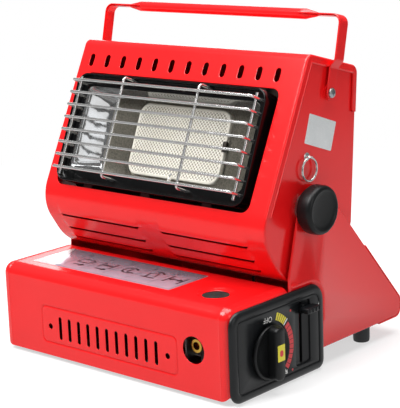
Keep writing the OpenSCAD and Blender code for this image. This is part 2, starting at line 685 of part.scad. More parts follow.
ring_top = lug_z - 2.3 + 0.75 + ring_wire_r + 0.15;
module ring() color(STEEL) translate([side_x + 3, lug_y, ring_top - ring_r]) rotate([0, 90, 0])
    rotate_extrude($fn = 64) translate([ring_r, 0]) circle(r = ring_wire_r, $fn = 16);

// ---- Knobs and lever ----

module tilt_knob() {
    x0 = wing_x + gap;
    x1 = wing_x + tilt_knob_h;
    r = tilt_knob_d / 2;
    turned(pivot_y, pivot_z, concat([[bolt_r + run, x0], [r - 3, x0], [r - 3, x0 + 2.5], [r, x0 + 3.5]],
        [for (a = [0 : 15 : 90]) [r - 2.5 + 2.5 * cos(a), x1 - 2.5 + 2.5 * sin(a)]],
        [[r - 5, x1 - 1.6], [0, x1 - 2.2], [0, x1 - 4.5], [bolt_r + run, x1 - 4.5]]));
}
module right_tilt_knob() color(BLACK) tilt_knob();
module left_tilt_knob() color(BLACK) mirror([1, 0, 0]) tilt_knob();

bar_w = 11;
bar_x = wing_x + tilt_knob_h - 0.4;
module gas_knob() color(BLACK) {
    x0 = panel_x + gap;
    rod(gas_knob_d / 2, x0, x0 + 3, knob_y, knob_z);
    translate([x0, knob_y, knob_z]) intersection() {
        translate([0, -bar_w / 2, -gas_knob_d / 2]) cube([bar_x - x0, bar_w, gas_knob_d]);
        rotate([0, 90, 0]) cylinder(r = gas_knob_d / 2, h = 30);
    }
}
module knob_marker() color("#f2d21f") translate([bar_x, knob_y - 3.8, knob_z - 10]) cube([0.3, 7.6, 17]);
module knob_shaft() color(STEEL) rod(shaft_r, valve_x + 22, panel_x + gap, knob_y, knob_z);

module lock_lever() color(BLACK) {
    translate([wing_x - 16, lever_y - 1.4, lever_z - 4]) cube([panel_x - wing_x + 16 + 1, 2.8, 8]);
    translate([panel_x + 0.6, lever_y - 4.5, lever_z - 2.3]) cube([9.4, 17, 4.6]);
}

module collar_yoke() color(STEEL) translate([valve_x - 9, 0, 0]) difference() {
    translate([0, can_y - 23, can_z - 20]) cube([1.8, 46, 40]);
    rod(12.5, -5, 5, can_y, can_z);
    translate([-1, can_y - 12.5, can_z]) cube([5, 25, 30]);
    for (p = yoke_pins) rod(2 + run, -5, 5, p[0], p[1]);
}

// ---- Hose and lead across the tilt joint ----

hose_x = 96;
lead_x = 70;
hose_z = 46;
wall_y = front + box_d - 1.7;
function below(p, down, back) = [p[0], p[1] + back, p[2] - down];
jet_end = burner_at(jet_x, tube_up, tube_in - 8.2);
module gas_hose() color("#2b2b2d") tube(smooth([[hose_x, knob_y + 13.2, hose_z], [hose_x, knob_y + 22, hose_z],
    [hose_x, wall_y + 12, hose_z],
    [hose_x, pivot_y + 5, hose_z - 4], [hose_x, pivot_y + 33, hose_z + 8], [hose_x, pivot_y + 42, pivot_z - 62],
    [hose_x - 0.3, pivot_y + 30, pivot_z - 38], burner_at(jet_x, tube_up, tube_in - 27),
    burner_at(jet_x, tube_up, tube_in - 18), jet_end], 6), hose_d / 2);
lead_end = burner_at(electrode_x, -46.05, electrode_z);
module spark_lead() color("#e8e4da") tube(smooth([[valve_x + 1.95, igniter_y, igniter_z],
    [valve_x, igniter_y, igniter_z], [valve_x - 3, igniter_y, igniter_z], [lead_x + 2, wall_y - 9, hose_z - 6], [lead_x, wall_y + 1, hose_z],
    [lead_x - 6, wall_y + 24, hose_z + 2], [lead_x - 22, pivot_y + 26, hose_z + 2],
    [lead_x - 36, pivot_y + 42, pivot_z - 66], [lead_x - 52, pivot_y + 30, pivot_z - 42],
    below(lead_end, 36, 18), burner_at(electrode_x, -60, electrode_z), burner_at(electrode_x, -51, electrode_z),
    lead_end], 5), 1.3, 6);

base_tray();
rear_cover();
right_wing();
left_wing();
bay_wall();
can_cradle();
gas_valve();
valve_socket();
gas_inlet();
igniter();
control_panel();
cover_pins();
pivot_washers();
rear_feet();
front_feet();
yoke_guides();
canister_cover();
label_plate();
head_shell();
head_right_side();
head_left_side();
head_back();
burner_frame();
guard_bars();
guard_legs();
reflector();
burner_box();
burner_plaque();
plaque_seal();
mixing_tube();
gas_jet();
burner_brackets();
spark_electrode();
pivot_bolts();
handle_screws();
ring_lug();
side_label();
handle();
ring();
right_tilt_knob();
left_tilt_knob();
gas_knob();
knob_marker();
knob_shaft();
lock_lever();
collar_yoke();
gas_hose();
spark_lead();
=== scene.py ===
"""Looks of the portable propane heater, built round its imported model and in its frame.

Sizes are in millimetres while a piece is made and in metres once it is handed over.
"""

import logging
import math
from collections.abc import Callable, Sequence
from dataclasses import dataclass, field
from enum import Enum

import bmesh
import bpy
from bmesh.types import BMEdge, BMesh, BMVert
from bpy.types import Material, Node, NodeSocket, NodeTree, Scene
from mathutils import Matrix, Vector


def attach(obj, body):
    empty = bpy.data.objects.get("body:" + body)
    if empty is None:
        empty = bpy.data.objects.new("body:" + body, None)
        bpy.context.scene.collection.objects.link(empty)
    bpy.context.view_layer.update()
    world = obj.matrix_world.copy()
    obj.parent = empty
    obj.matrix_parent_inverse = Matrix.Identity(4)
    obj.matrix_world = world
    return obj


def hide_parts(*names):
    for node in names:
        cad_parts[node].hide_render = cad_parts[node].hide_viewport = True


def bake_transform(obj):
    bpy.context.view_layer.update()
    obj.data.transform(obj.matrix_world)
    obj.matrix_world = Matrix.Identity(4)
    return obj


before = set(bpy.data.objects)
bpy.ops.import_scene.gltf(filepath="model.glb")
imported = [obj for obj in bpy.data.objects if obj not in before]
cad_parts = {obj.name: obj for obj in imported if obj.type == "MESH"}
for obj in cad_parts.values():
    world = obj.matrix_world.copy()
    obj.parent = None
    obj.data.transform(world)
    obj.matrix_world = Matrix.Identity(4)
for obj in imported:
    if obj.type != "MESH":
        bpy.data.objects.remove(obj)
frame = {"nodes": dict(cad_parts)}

log = logging.getLogger("heater")
MM = 0.001
# Distance below which two points of a mesh are one, in millimetres.
NEAR = 1e-4
Spot = tuple[float, float]
# An outline as a function of how far it is drawn inwards.
Shape = Callable[[float], list[Vector]]
Place = Callable[[Vector], Vector]


class Side(Enum):
    """Right or left of the heater, as the sign of its x."""

    RIGHT = 1
    LEFT = -1


@dataclass(frozen=True)
class Layout:
    """Main sizes and places of the heater, in millimetres."""

    front: float = -120.25
    case_w: float = 265.0
    box_h: float = 79.6
    box_d: float = 77.7
    pivot_y: float = -13.15
    pivot_z: float = 141.0
    wing_x: float = 132.9
    wing_foot: float = 16.4
    head_x: float = 128.5
    side_x: float = 127.0
    panel_x: float = 136.5
    knob_y: float = -73.65
    knob_z: float = 34.9
    lever_y: float = -29.75
    lever_z: float = 59.7
    screw_y: float = 22.65
    screw_z: float = 231.3
    lug_y: float = -7.65
    lug_z: float = 182.5

    @property
    def pivot(self) -> Vector:
        """The tilt axis in the plane of depth and height."""
        return Vector((self.pivot_y, self.pivot_z))


AT = Layout()

# ---- Outlines and places ----


def facing(angle: float) -> Vector:
    """Direction that a side of a section faces, from its angle in degrees."""
    return Vector((math.cos(math.radians(angle)), math.sin(math.radians(angle))))


def along(angle: float) -> Vector:
    """Direction of travel along a side, with its inside on the left."""
    return Vector((-math.sin(math.radians(angle)), math.cos(math.radians(angle))))


def meet(a: float, p: float, b: float, q: float) -> Vector:
    """Point where two sides meet.

    Args:
        a: Facing angle of the first side.
        p: Its distance from the origin.
        b: Facing angle of the second side.
        q: Its distance from the origin.

    Returns:
        The crossing of the two sides' lines.
    """
    m, n = facing(a), facing(b)
    return Vector((p * n.y - q * m.y, q * m.x - p * n.x)) / math.sin(math.radians(b - a))


def fillet(
    points: Sequence[Spot], radii: Sequence[float], inset: float = 0.0, step: float = 9.0
) -> list[Vector]:
    """Rounds the corners of an outline and draws it inwards.

    Args:
        points: Corners, turning left.
        radii: Radius of each corner.
        inset: How far the outline is drawn inwards.
        step: Most degrees that one edge of a corner turns.

    Returns:
        As many points for any inset.
    """
    made, smallest = [], 0.04
    for i, here in enumerate(points):
        before, at, after = Vector(points[i - 1]), Vector(here), Vector(points[(i + 1) % len(points)])
        come, go = (at - before).normalized(), (after - at).normalized()
        turn = math.atan2(come.cross(go), come.dot(go))
        side = 1 if turn > 0 else -1
        radius = max(radii[i] - side * inset, smallest)
        out, out_next = Vector((come.y, -come.x)), Vector((go.y, -go.x))
        centre = at - (out + out_next) * (inset + side * radius) / (1 + out.dot(out_next))
        first = math.atan2(out.y, out.x)
        count = max(1, math.ceil(abs(math.degrees(turn)) / step))
        for k in range(count + 1):
            angle = first + turn * k / count
            made.append(centre + side * radius * Vector((math.cos(angle), math.sin(angle))))
    return made


def rounded(x: float, y: float, w: float, h: float, r: float) -> Shape:
    """Round-cornered rectangle.

    Args:
        x: Middle across.
        y: Middle along.
        w: Width.
        h: Height.
        r: Corner radius.

    Returns:
        The outline for each inset.
    """
    left, right, low, high = x - w / 2, x + w / 2, y - h / 2, y + h / 2
    return lambda inset: fillet([(left, low), (right, low), (right, high), (left, high)], [r] * 4, inset)


def disc(x: float, y: float, r: float, count: int = 40) -> Shape:
    """Circle round (x, y)."""
    return lambda inset: [Vector((x, y)) + (r - inset) * facing(360 * k / count) for k in range(count)]


def wedge(a0: float, a1: float, r0: float, r1: float, steps: int = 4) -> Shape:
    """Piece of a flat ring round the origin.

    Args:
        a0: Angle where it starts.
        a1: Angle where it ends.
        r0: Inner radius.
        r1: Outer radius.
        steps: Edges along each arc.

    Returns:
        The outline for each inset.
    """

    def outline(inset: float) -> list[Vector]:
        """The piece, drawn inwards."""
        slip = math.degrees(inset / r0)
        turns = [a0 + slip + (a1 - a0 - 2 * slip) * k / steps for k in range(steps + 1)]
        return [(r1 - inset) * facing(a) for a in turns] + [(r0 + inset) * facing(a) for a in reversed(turns)]

    return outline


def band(path: Sequence[Spot], half: float) -> Shape:
    """Strip round an open path, with round ends.

    Args:
        path: Points of the strip's middle.
        half: Half its width.

    Returns:
        The strip's outline for each inset.
    """
    points, last, cap_step = [Vector(p) for p in path], len(path) - 1, 30

    def outline(inset: float) -> list[Vector]:
        """The strip, drawn inwards."""
        width, lefts, rights, caps = half - inset, [], [], []
        for i, here in enumerate(points):
            ahead = (points[min(i + 1, last)] - points[max(i - 1, 0)]).normalized()
            normal = Vector((-ahead.y, ahead.x))
            lefts.append(here + normal * width)
            rights.append(here - normal * width)
            if i in (0, last):
                start = math.degrees(math.atan2(normal.y, normal.x)) + (180 if i else 0)
                caps.append([here + width * facing(start + cap_step * k) for k in range(1, 6)])
        return rights + caps[1] + lefts[::-1] + caps[0]

    return outline


@dataclass(frozen=True)
class Face:
    """One side of a bent sheet's section: where it faces, how far out it lies and the bend after it."""

    angle: float
    reach: float
    bend: float


class BentSection:
    """Section of a bent sheet: flats joined by bends, told by stations along its outside."""

    def __init__(self, faces: Sequence[Face], start: float, end: float) -> None:
        """Lays the flats and bends end to end.

        Args:
            faces: The sides in the order of travel.
            start: Where the first flat starts, from its foot on the origin.
            end: Where the last flat ends, from its foot.
        """
        self.faces = list(faces)
        self.flats: list[Spot] = []
        self.bends: list[tuple[float, float, Vector, float, float]] = []
        station, place = 0.0, start
        for face, after in zip(self.faces, self.faces[1:]):
            self.flats.append((station, place))
            turn = after.angle - face.angle
            drawn = math.copysign(face.bend, turn)
            centre = meet(face.angle, face.reach - drawn, after.angle, after.reach - drawn)
            station += centre.dot(along(face.angle)) - place
            run = math.radians(abs(turn)) * face.bend
            self.bends.append((station, station + run, centre, face.angle, drawn))
            station += run
            place = centre.dot(along(after.angle))
        self.flats.append((station, place))
        self.length = station + end - place

    def station(self, face: int, place: float) -> float:
        """Station of a place on a flat, told from the flat's foot on the origin."""
        start, first = self.flats[face]
        return start + place - first

    def cuts(self, step: float = 5.0, beside: float = 0.8) -> list[float]:
        """Stations to cut a net at, so that it bends in small steps.

        Args:
            step: Most degrees of a step.
            beside: How far beside a bend the flat gets a cut of its own.

        Returns:
            The stations.
        """
        found = []
        for first, last, _, _, drawn in self.bends:
            count = max(2, math.ceil(math.degrees((last - first) / abs(drawn)) / step))
            found += [first + (last - first) * k / count for k in range(count + 1)]
            found += [first - beside, last + beside]
        return [s for s in found if 0.05 < s < self.length - 0.05]

    def at(self, station: float, height: float) -> Vector:
        """Point of the section.

        Args:
            station: Length along the outside.
            height: How far out of the outside.

        Returns:
            The point in the section's plane.
        """
        for first, last, centre, angle, drawn in self.bends:
            if first <= station < last:
                return centre + (drawn + height) * facing(angle + math.degrees((station - first) / drawn))
        index = sum(station >= bend[1] for bend in self.bends)
        face, (start, first) = self.faces[index], self.flats[index]
        return (face.reach + height) * facing(face.angle) + (first + station - start) * along(face.angle)


# ---- Making meshes ----


class Net:
    """A sheet drawn flat: x across it, y along its section and z its pressed height."""

    def __init__(self) -> None:
        """Starts an empty drawing."""
        self.bm: BMesh = bmesh.new()

    def ring(self, points: Sequence[Vector], height: float = 0.0) -> list[BMVert]:
        """Draws a closed line.

        Args:
            points: Its points.
            height: Its height.

        Returns:
            The line's vertices.
        """
        verts = [self.bm.verts.new((p[0], p[1], height)) for p in points]
        for a, b in zip(verts, verts[1:] + verts[:1]):
            self.bm.edges.new((a, b))
        return verts

    def edges_of(self, ring: Sequence[BMVert]) -> list[BMEdge]:
        """The edges of a closed line of vertices."""
        return [self.bm.edges.get((a, b)) for a, b in zip(ring, [*ring[1:], ring[0]])]

    def step(self, ring: Sequence[BMVert], points: Sequence[Vector], height: float) -> list[BMVert]:
        """Extrudes a closed line to new points.

        Args:
            ring: The line's vertices.
            points: As many new places.
            height: Their height.

        Returns:
            The new line's vertices.
        """
        made = bmesh.ops.extrude_edge_only(self.bm, edges=self.edges_of(ring))["geom"]
        fresh = {v.co.to_tuple(5): v for v in made if isinstance(v, BMVert)}
        following = [fresh[v.co.to_tuple(5)] for v in ring]
        for vert, point in zip(following, points):
            vert.co = (point[0], point[1], height)
        return following

    def press(self, shape: Shape, profile: Sequence[Spot]) -> tuple[list[BMVert], list[BMVert]]:
        """Presses a shape into the sheet or out of it.

        Args:
            shape: The outline for each inset.
            profile: Insets with their heights.

        Returns:
            The first and the last line.
        """
        first = ring = self.ring(shape(profile[0][0]), profile[0][1])
        for inset, height in profile[1:]:
            ring = self.step(ring, shape(inset), height)
        return first, ring

    def fill(self, *rings: Sequence[BMVert], loose: Sequence[BMEdge] = ()) -> None:
        """Fills the flat between closed lines; the inner ones stay open.

        Args:
            rings: The lines' vertices.
            loose: Edges of lines that are not told as a ring.
        """
        edges = [e for ring in rings for e in self.edges_of(ring)]
        bmesh.ops.triangle_fill(self.bm, use_beauty=True, use_dissolve=False, edges=[*edges, *loose])

    def patch(self, *shapes: Shape, height: float = 0.0) -> None:
        """Fills each shape by itself at a height."""
        for shape in shapes:
            self.fill(self.ring(shape(0), height))

    def cut(self, across: Sequence[float] = (), stations: Sequence[float] = ()) -> None:
        """Cuts the whole net along lines of constant x and along stations.

        Args:
            across: Values of x to cut at.
            stations: Stations to cut at.
        """
        for axis, values in enumerate((across, stations)):
            for value in values:
                spot, normal = Vector((0, 0, 0)), Vector((0, 0, 0))
                spot[axis], normal[axis] = value, 1
                self.slice(spot, normal)

    def slice(self, spot: Vector, normal: Vector) -> None:
        """Cuts the whole net with one plane."""
        geom = self.bm.verts[:] + self.bm.edges[:] + self.bm.faces[:]
        bmesh.ops.bisect_plane(self.bm, geom=geom, dist=NEAR, plane_co=spot, plane_no=normal)

    def lift(self, height: Callable[[float, float], float]) -> None:
        """Adds a height to every point of the net."""
        for vert in self.bm.verts:
            vert.co.z += height(vert.co.x, vert.co.y)

    def place(self, spot: Place = Vector.copy, thickness: float = 0.0) -> BMesh:
        """Bends the net into its place and gives it its thickness.

        Args:
            spot: Place of each point of the net.
            thickness: Thickness of the sheet, inwards.

        Returns:
            The finished mesh.
        """
        bm = self.bm
        bmesh.ops.remove_doubles(bm, verts=bm.verts, dist=10 * NEAR)
        bmesh.ops.recalc_face_normals(bm, faces=bm.faces)
        if sum(f.normal.z * f.calc_area() for f in bm.faces) < 0:
            bmesh.ops.reverse_faces(bm, faces=bm.faces)
        probe = max(bm.faces, key=lambda f: f.calc_area() * abs(f.normal.z))
        middle = probe.calc_center_median()
        outward = spot(middle + Vector((0, 0, 1))) - spot(middle)
        for vert in bm.verts:
            vert.co = spot(vert.co)
        bm.normal_update()
        if probe.normal.dot(outward) < 0:
            bmesh.ops.reverse_faces(bm, faces=bm.faces)
        if thickness:
            bmesh.ops.solidify(bm, geom=bm.faces[:], thickness=thickness)
        return bm


def lidded(shape: Shape, profile: Sequence[Spot], spot: Place = Vector.copy) -> BMesh:
    """A shape pressed out of nothing and closed on top.

    Args:
        shape: The outline for each inset.
        profile: Insets with their heights.
        spot: Place of each point.

    Returns:
        The mesh, open below.
    """
    net = Net()
    net.fill(net.press(shape, profile)[1])
    return net.place(spot)


def edge_roll(radius: float, steps: int = 4) -> list[Spot]:
    """Insets and heights of an edge that turns down with a radius, from the flat outwards."""
    turns = [math.radians(90 * k / steps) for k in range(steps + 1)]
    return [(radius * (1 - math.sin(a)), -radius * (1 - math.cos(a))) for a in turns]


def mirrored(*values: float) -> list[float]:
    """Each value, then its negative."""
    return [s * v for v in values for s in (1, -1)]


def end_roll(half: float, radius: float, steps: int = 5) -> tuple[list[float], Callable[[float, float], float]]:
    """Rounds both ends of a net down.

    Args:
        half: Half the sheet's length over its ends.
        radius: Radius of the rounding.
        steps: Cuts in each.

    Returns:
        Where to cut the net, and the height at each place.
    """
    cuts = mirrored(*(half - radius + radius * math.sin(math.radians(90 * k / steps)) for k in range(steps)))

    def height(x: float, _: float) -> float:
        """Height at x."""
        over = min(max(abs(x) - half + radius, 0), radius)
        return math.sqrt(radius * radius - over * over) - radius

    return cuts, height


def spun(profile: Sequence[Spot], steps: int = 72) -> BMesh:
    """Turned shape, spun round Z.

    Args:
        profile: Points of radius and height.
        steps: Faces round it.

    Returns:
        The mesh.
    """
    bm = bmesh.new()
    verts = [bm.verts.new((r, 0, h)) for r, h in profile]
    edges = [bm.edges.new(pair) for pair in zip(verts, verts[1:])]
    return swept(bm, verts + edges, steps)


def swept(bm: BMesh, geom: list, steps: int) -> BMesh:
    """Spins a drawn line once round Z.

    Args:
        bm: The mesh that holds it.
        geom: The line.
        steps: Faces round it.

    Returns:
        The same mesh, cleaned.
    """
    round_z = {"cent": (0, 0, 0), "axis": (0, 0, 1), "angle": math.tau}
    bmesh.ops.spin(bm, geom=geom, **round_z, steps=steps, use_merge=True)
    bmesh.ops.remove_doubles(bm, verts=bm.verts, dist=NEAR)
    bmesh.ops.recalc_face_normals(bm, faces=bm.faces)
    return bm


def wire(corners: Sequence[Vector], radius: float, bend: float, sides: int = 14) -> BMesh:
    """Round wire bent at its corners.

    Args:
        corners: Ends and corners of its middle line.
        radius: Radius of the wire.
        bend: Radius of its bends.
        sides: Sides of its section.

    Returns:
        The closed mesh.
    """
    bm = bmesh.new()
    points = [Vector(p) for p in corners]
    ahead = (points[1] - points[0]).normalized()
    start = Matrix.Translation(points[0]) @ ahead.to_track_quat("Z", "Y").to_matrix().to_4x4()
    bmesh.ops.create_circle(bm, segments=sides, radius=radius, matrix=start)
    edges, here = bm.edges[:], points[0]
    for i in range(1, len(points)):
        trim = 0.0
        if i < len(points) - 1:
            onward = (points[i + 1] - points[i]).normalized()
            angle = ahead.angle(onward)
            trim = bend * math.tan(angle / 2)
        reach = points[i] - ahead * trim
        made = bmesh.ops.extrude_edge_only(bm, edges=edges)["geom"]
        bmesh.ops.translate(bm, vec=reach - here, verts=[v for v in made if isinstance(v, BMVert)])
        edges = [e for e in made if isinstance(e, BMEdge) and all(v in made for v in e.verts)]
        here = reach
        if trim:
            axis = ahead.cross(onward).normalized()
            centre = here + axis.cross(ahead) * bend
            turned = bmesh.ops.spin(bm, geom=edges, cent=centre, axis=axis, angle=angle, steps=6)
            edges = [e for e in turned["geom_last"] if isinstance(e, BMEdge)]
            here, ahead = points[i] + onward * trim, onward
    bmesh.ops.holes_fill(bm, edges=[e for e in bm.edges if e.is_boundary], sides=0)
    bmesh.ops.recalc_face_normals(bm, faces=bm.faces)
    return bm


def block(low: Sequence[float], high: Sequence[float], bevel: float, segments: int = 2) -> BMesh:
    """Box with rounded edges.

    Args:
        low: Its lowest corner.
        high: Its highest corner.
        bevel: How far its edges are rounded.
        segments: Steps of the rounding.

    Returns:
        The mesh.
    """
    bm = bmesh.new()
    size, middle = Vector(high) - Vector(low), (Vector(low) + Vector(high)) / 2
    bmesh.ops.create_cube(bm, size=1, matrix=Matrix.Translation(middle) @ Matrix.Diagonal((*size, 1)))
    how = {"offset_type": "OFFSET", "affect": "EDGES", "profile": 0.5, "material": -1}
    bmesh.ops.bevel(bm, geom=bm.edges[:], offset=bevel, segments=segments, **how)
    return bm


def joined(*parts: BMesh) -> BMesh:
    """One mesh of several, which are used up."""
    whole = bmesh.new()
    for part in parts:
        mesh = bpy.data.meshes.new("part")
        part.to_mesh(mesh)
        part.free()
        whole.from_mesh(mesh)
        bpy.data.meshes.remove(mesh)
    return whole


def moved(bm: BMesh, matrix: Matrix) -> BMesh:
    """The mesh after a transform, with its faces still pointing outwards."""
    bmesh.ops.transform(bm, matrix=matrix, verts=bm.verts)
    if matrix.determinant() < 0:
        bmesh.ops.reverse_faces(bm, faces=bm.faces)
    return bm


def tinted(bm: BMesh, index: int) -> BMesh:
    """The mesh with all its faces on one material index."""
    for face in bm.faces:
        face.material_index = index
    return bm


def as_drawn(thing: bpy.types.Object) -> BMesh:
    """Mesh of a curve or text, which is used up."""
    bpy.context.scene.collection.objects.link(thing)
    bpy.context.view_layer.update()
    bm = bmesh.new()
    bm.from_mesh(thing.evaluated_get(bpy.context.evaluated_depsgraph_get()).to_mesh())
    bpy.data.objects.remove(thing)
    return bm


def shift(x: float, y: float, z: float) -> Matrix:
    """Matrix that moves."""
    return Matrix.Translation((x, y, z))


def rotation(degrees: float, axis: str) -> Matrix:
    """Matrix that turns round an axis."""
    return Matrix.Rotation(math.radians(degrees), 4, axis)


def on_side(x: float, y: float, z: float, side: Side = Side.RIGHT) -> Matrix:
    """Frame on a side of the heater: its X runs to the rear, Y up and Z out of the side.

    Args:
        x: Distance of its origin from the middle.
        y: Its place along the depth.
        z: Its height.
        side: Right or left; the left one is mirrored.

    Returns:
        The frame's matrix.
    """
    return Matrix(((0, 0, side.value, side.value * x), (1, 0, 0, y), (0, 1, 0, z), (0, 0, 0, 1)))


# The burner leans back, and its frame runs across, up its face and out of it.
LEAN = math.radians(23.1)
ON_BURNER = Matrix((
    (1, 0, 0, -3.5),
    (0, math.sin(LEAN), -math.cos(LEAN), -39.817),
    (0, math.cos(LEAN), math.sin(LEAN), 192.127),
    (0, 0, 0, 1),
))


def burner_spot(x: float, up: float, out: float) -> Vector:
    """Place of a point told in the burner's frame."""
    return ON_BURNER @ Vector((x, up, out))


# ---- Finishes ----


def srgb(code: str) -> tuple[float, float, float, float]:
    """Linear colour of an sRGB hex code."""
    parts = [int(code[i : i + 2], 16) / 255 for i in (1, 3, 5)]
    return (*[c / 12.92 if c <= 0.04045 else ((c + 0.055) / 1.055) ** 2.4 for c in parts], 1.0)


def add_node(tree: NodeTree, kind: str, inputs: dict | None = None, **settings: object) -> Node:
    """Adds one node with its settings and links.

    Args:
        tree: The material's or world's nodes.
        kind: The node's type, without the ShaderNode that it starts with.
        inputs: Value or output socket for each input, by name or number.
        settings: The node's own settings.

    Returns:
        The new node.
    """
    made = tree.nodes.new("ShaderNode" + kind)
    for name, value in settings.items():
        setattr(made, name, value)
    for key, value in (inputs or {}).items():
        if isinstance(value, NodeSocket):
            tree.links.new(value, made.inputs[key])
        else:
            made.inputs[key].default_value = value
    return made


def ranged(tree: NodeTree, value: NodeSocket, old: Spot, new: Spot) -> NodeSocket:
    """Maps one range of a value onto another one."""
    return add_node(tree, "MapRange", {0: value, 1: old[0], 2: old[1], 3: new[0], 4: new[1]}).outputs[0]


def maths(tree: NodeTree, operation: str, a: NodeSocket, b: NodeSocket | float) -> NodeSocket:
    """Result of a sum on two values."""
    return add_node(tree, "Math", {0: a, 1: b}, operation=operation).outputs[0]


def dot(tree: NodeTree, a: NodeSocket, b: Sequence[float]) -> NodeSocket:
    """How far a vector reaches along a direction."""
    return add_node(tree, "VectorMath", {0: a, 1: b}, operation="DOT_PRODUCT").outputs["Value"]


def mixed(tree: NodeTree, share: NodeSocket, a: object, b: object) -> NodeSocket:
    """Colour between two, by a share of the second."""
    return add_node(tree, "Mix", {0: share, 6: a, 7: b}, data_type="RGBA").outputs[2]


def bumped(tree: NodeTree, shader: Node, height: NodeSocket, depth_mm: float, strength: float = 1.0) -> None:
    """Gives a shader its relief."""
    bump = add_node(tree, "Bump", {"Height": height, "Distance": depth_mm * MM, "Strength": strength})
    tree.links.new(bump.outputs[0], shader.inputs["Normal"])


@dataclass(frozen=True)
class Finish:
    """A surface: its colour and gloss, the tone that drifts over it and the grain in it."""

    name: str
    colour: str
    roughness: float
    metallic: float = 0.0
    other: str = ""
    drift_mm: float = 30.0
    drift: float = 0.5
    rough_swing: float = 0.05
    grain_mm: float = 1.0
    grain_depth: float = 0.01
    stretch: tuple[float, float, float] = (1.0, 1.0, 1.0)
    coat: float = 0.0
    ior: float = 1.5

    def material(self) -> Material:
        """The finish's material, made once."""
        found = bpy.data.materials.get(self.name)
        if found:
            return found
        made = bpy.data.materials.new(self.name)
        made.use_nodes = True
        tree = made.node_tree
        shader = tree.nodes["Principled BSDF"]
        shader.inputs["Metallic"].default_value = self.metallic
        if not self.metallic:
            shader.inputs["IOR"].default_value = self.ior
        if self.coat:
            shader.inputs["Coat Weight"].default_value = self.coat
            shader.inputs["Coat Roughness"].default_value = 0.08
        place = add_node(tree, "TexCoord").outputs["Object"]
        stretched = add_node(tree, "Mapping", {"Vector": place, "Scale": self.stretch}).outputs[0]
        tree.links.new(self.tone(tree, place), shader.inputs["Base Color"])
        self.texture(tree, shader, stretched)
        return made

    def noise(self, tree: NodeTree, place: NodeSocket, size_mm: float, detail: float) -> NodeSocket:
        """Noise whose patches have a real size."""
        inputs = {"Vector": place, "Scale": 1 / (size_mm * MM), "Detail": detail}
        return add_node(tree, "TexNoise", inputs).outputs[0]

    def tone(self, tree: NodeTree, place: NodeSocket) -> NodeSocket:
        """Lets the colour drift towards the other one.

        Args:
            tree: The material's nodes.
            place: Coordinates in metres.

        Returns:
            The colour's socket.
        """
        share = ranged(tree, self.noise(tree, place, self.drift_mm, 3.0), (0.35, 0.7), (0.0, self.drift))
        return mixed(tree, share, srgb(self.colour), srgb(self.other or self.colour))

    def texture(self, tree: NodeTree, shader: Node, place: NodeSocket) -> None:
        """Adds the grain as roughness and relief.

        Args:
            tree: The material's nodes.
            shader: Its shader.
            place: Coordinates, stretched along the grain.
        """
        grain = self.noise(tree, place, self.grain_mm, 2.0)
        span = max(self.roughness - self.rough_swing, 0.02), self.roughness + self.rough_swing
        tree.links.new(ranged(tree, grain, (0.3, 0.7), span), shader.inputs["Roughness"])
        bumped(tree, shader, grain, self.grain_depth)


@dataclass(frozen=True)
class PerforatedCeramic(Finish):
    """Pressed ceramic with rows of fine flame ports, which are too fine to be meshed; each port is painted
    darker as the shade in its hole.
    """

    pitch_mm: float = 3.6
    shaded_port: str = "#989080"
    port_edge: Spot = (0.17, 0.32)
    port_depth: float = 0.4

    def texture(self, tree: NodeTree, shader: Node, place: NodeSocket) -> None:
        """Adds two square grids of ports, one between the other's, on the plaque's plane, each painted darker
        as the shade in its hole.

        Args:
            tree: The material's nodes.
            shader: Its shader.
            place: Coordinates in metres.
        """
        across, up = dot(tree, place, (1, 0, 0)), dot(tree, place, (0, math.sin(LEAN), math.cos(LEAN)))
        flat = add_node(tree, "CombineXYZ", {0: across, 1: up}).outputs[0]
        centres = []
        for by in (0.0, 0.5 * self.pitch_mm * MM):
            grid = add_node(tree, "Mapping", {"Vector": flat, "Location": (by, by, 0)}).outputs[0]
            cells = {"Vector": grid, "Scale": 1 / (self.pitch_mm * MM), "Randomness": 0.0}
            centres.append(add_node(tree, "TexVoronoi", cells).outputs["Distance"])
        # Painted shade: each port's hole is painted darker than the clay.
        shaded_port = ranged(tree, maths(tree, "MINIMUM", *centres), self.port_edge, (1.0, 0.0))
        clay = shader.inputs["Base Color"].links[0].from_socket
        tree.links.new(mixed(tree, shaded_port, clay, srgb(self.shaded_port)), shader.inputs["Base Color"])
        shader.inputs["Roughness"].default_value = self.roughness
        bumped(tree, shader, maths(tree, "MULTIPLY", shaded_port, -1.0), self.port_depth, 0.6)


# Glossy polyester powder on steel: soft orange peel a millimetre and a half across.
RED = Finish("powder_coated_steel", "#F2191C", 0.2, other="#EA1619", drift_mm=45, grain_mm=1.6,
             grain_depth=0.004, rough_swing=0.02)
# Painted shade: the same powder, darkened and dulled, for faces that lie in shade: the tray's inside and the
# tabs round the burner's mouth.
RED_PAINTED_SHADE = Finish("powder_coated_steel_painted_shade", "#5E0C0E", 0.45, other="#4C0A0C", drift_mm=20, grain_mm=1.2)
# Vitreous enamel: deep black glass with a slow wave in it.
ENAMEL = Finish("vitreous_enamel", "#070708", 0.14, other="#0B0C0D", drift_mm=18, grain_mm=4.0,
                grain_depth=0.008, rough_swing=0.03, ior=1.3)
# Moulded ABS with a fine spark-eroded grain.
ABS = Finish("moulded_abs", "#121416", 0.34, other="#181A1D", drift_mm=12, grain_mm=0.5, grain_depth=0.012,
             ior=1.4)
# Softer moulded nylon of the knobs: satin, with faint flow marks.
NYLON = Finish("moulded_nylon", "#0E0F10", 0.38, other="#141516", drift_mm=9, grain_mm=0.8, rough_swing=0.06,
               ior=1.33)
# Bright chrome on drawn wire: mirror with fine lines along it.
CHROME = Finish("chromed_wire", "#D8D8D7", 0.17, 0.86, "#CDCBC9", 12, 0.5, 0.02, 0.9, 0.0006, (0.15, 1, 1))
# Bright-rolled stainless reflector: a slow ripple, as thin sheet has, and a faint heat tint.
MIRROR_STEEL = Finish("bright_rolled_stainless", "#A9ABAD", 0.05, 0.8, "#8F8E8B", 22, 0.7, 0.02, 13.0, 0.09)
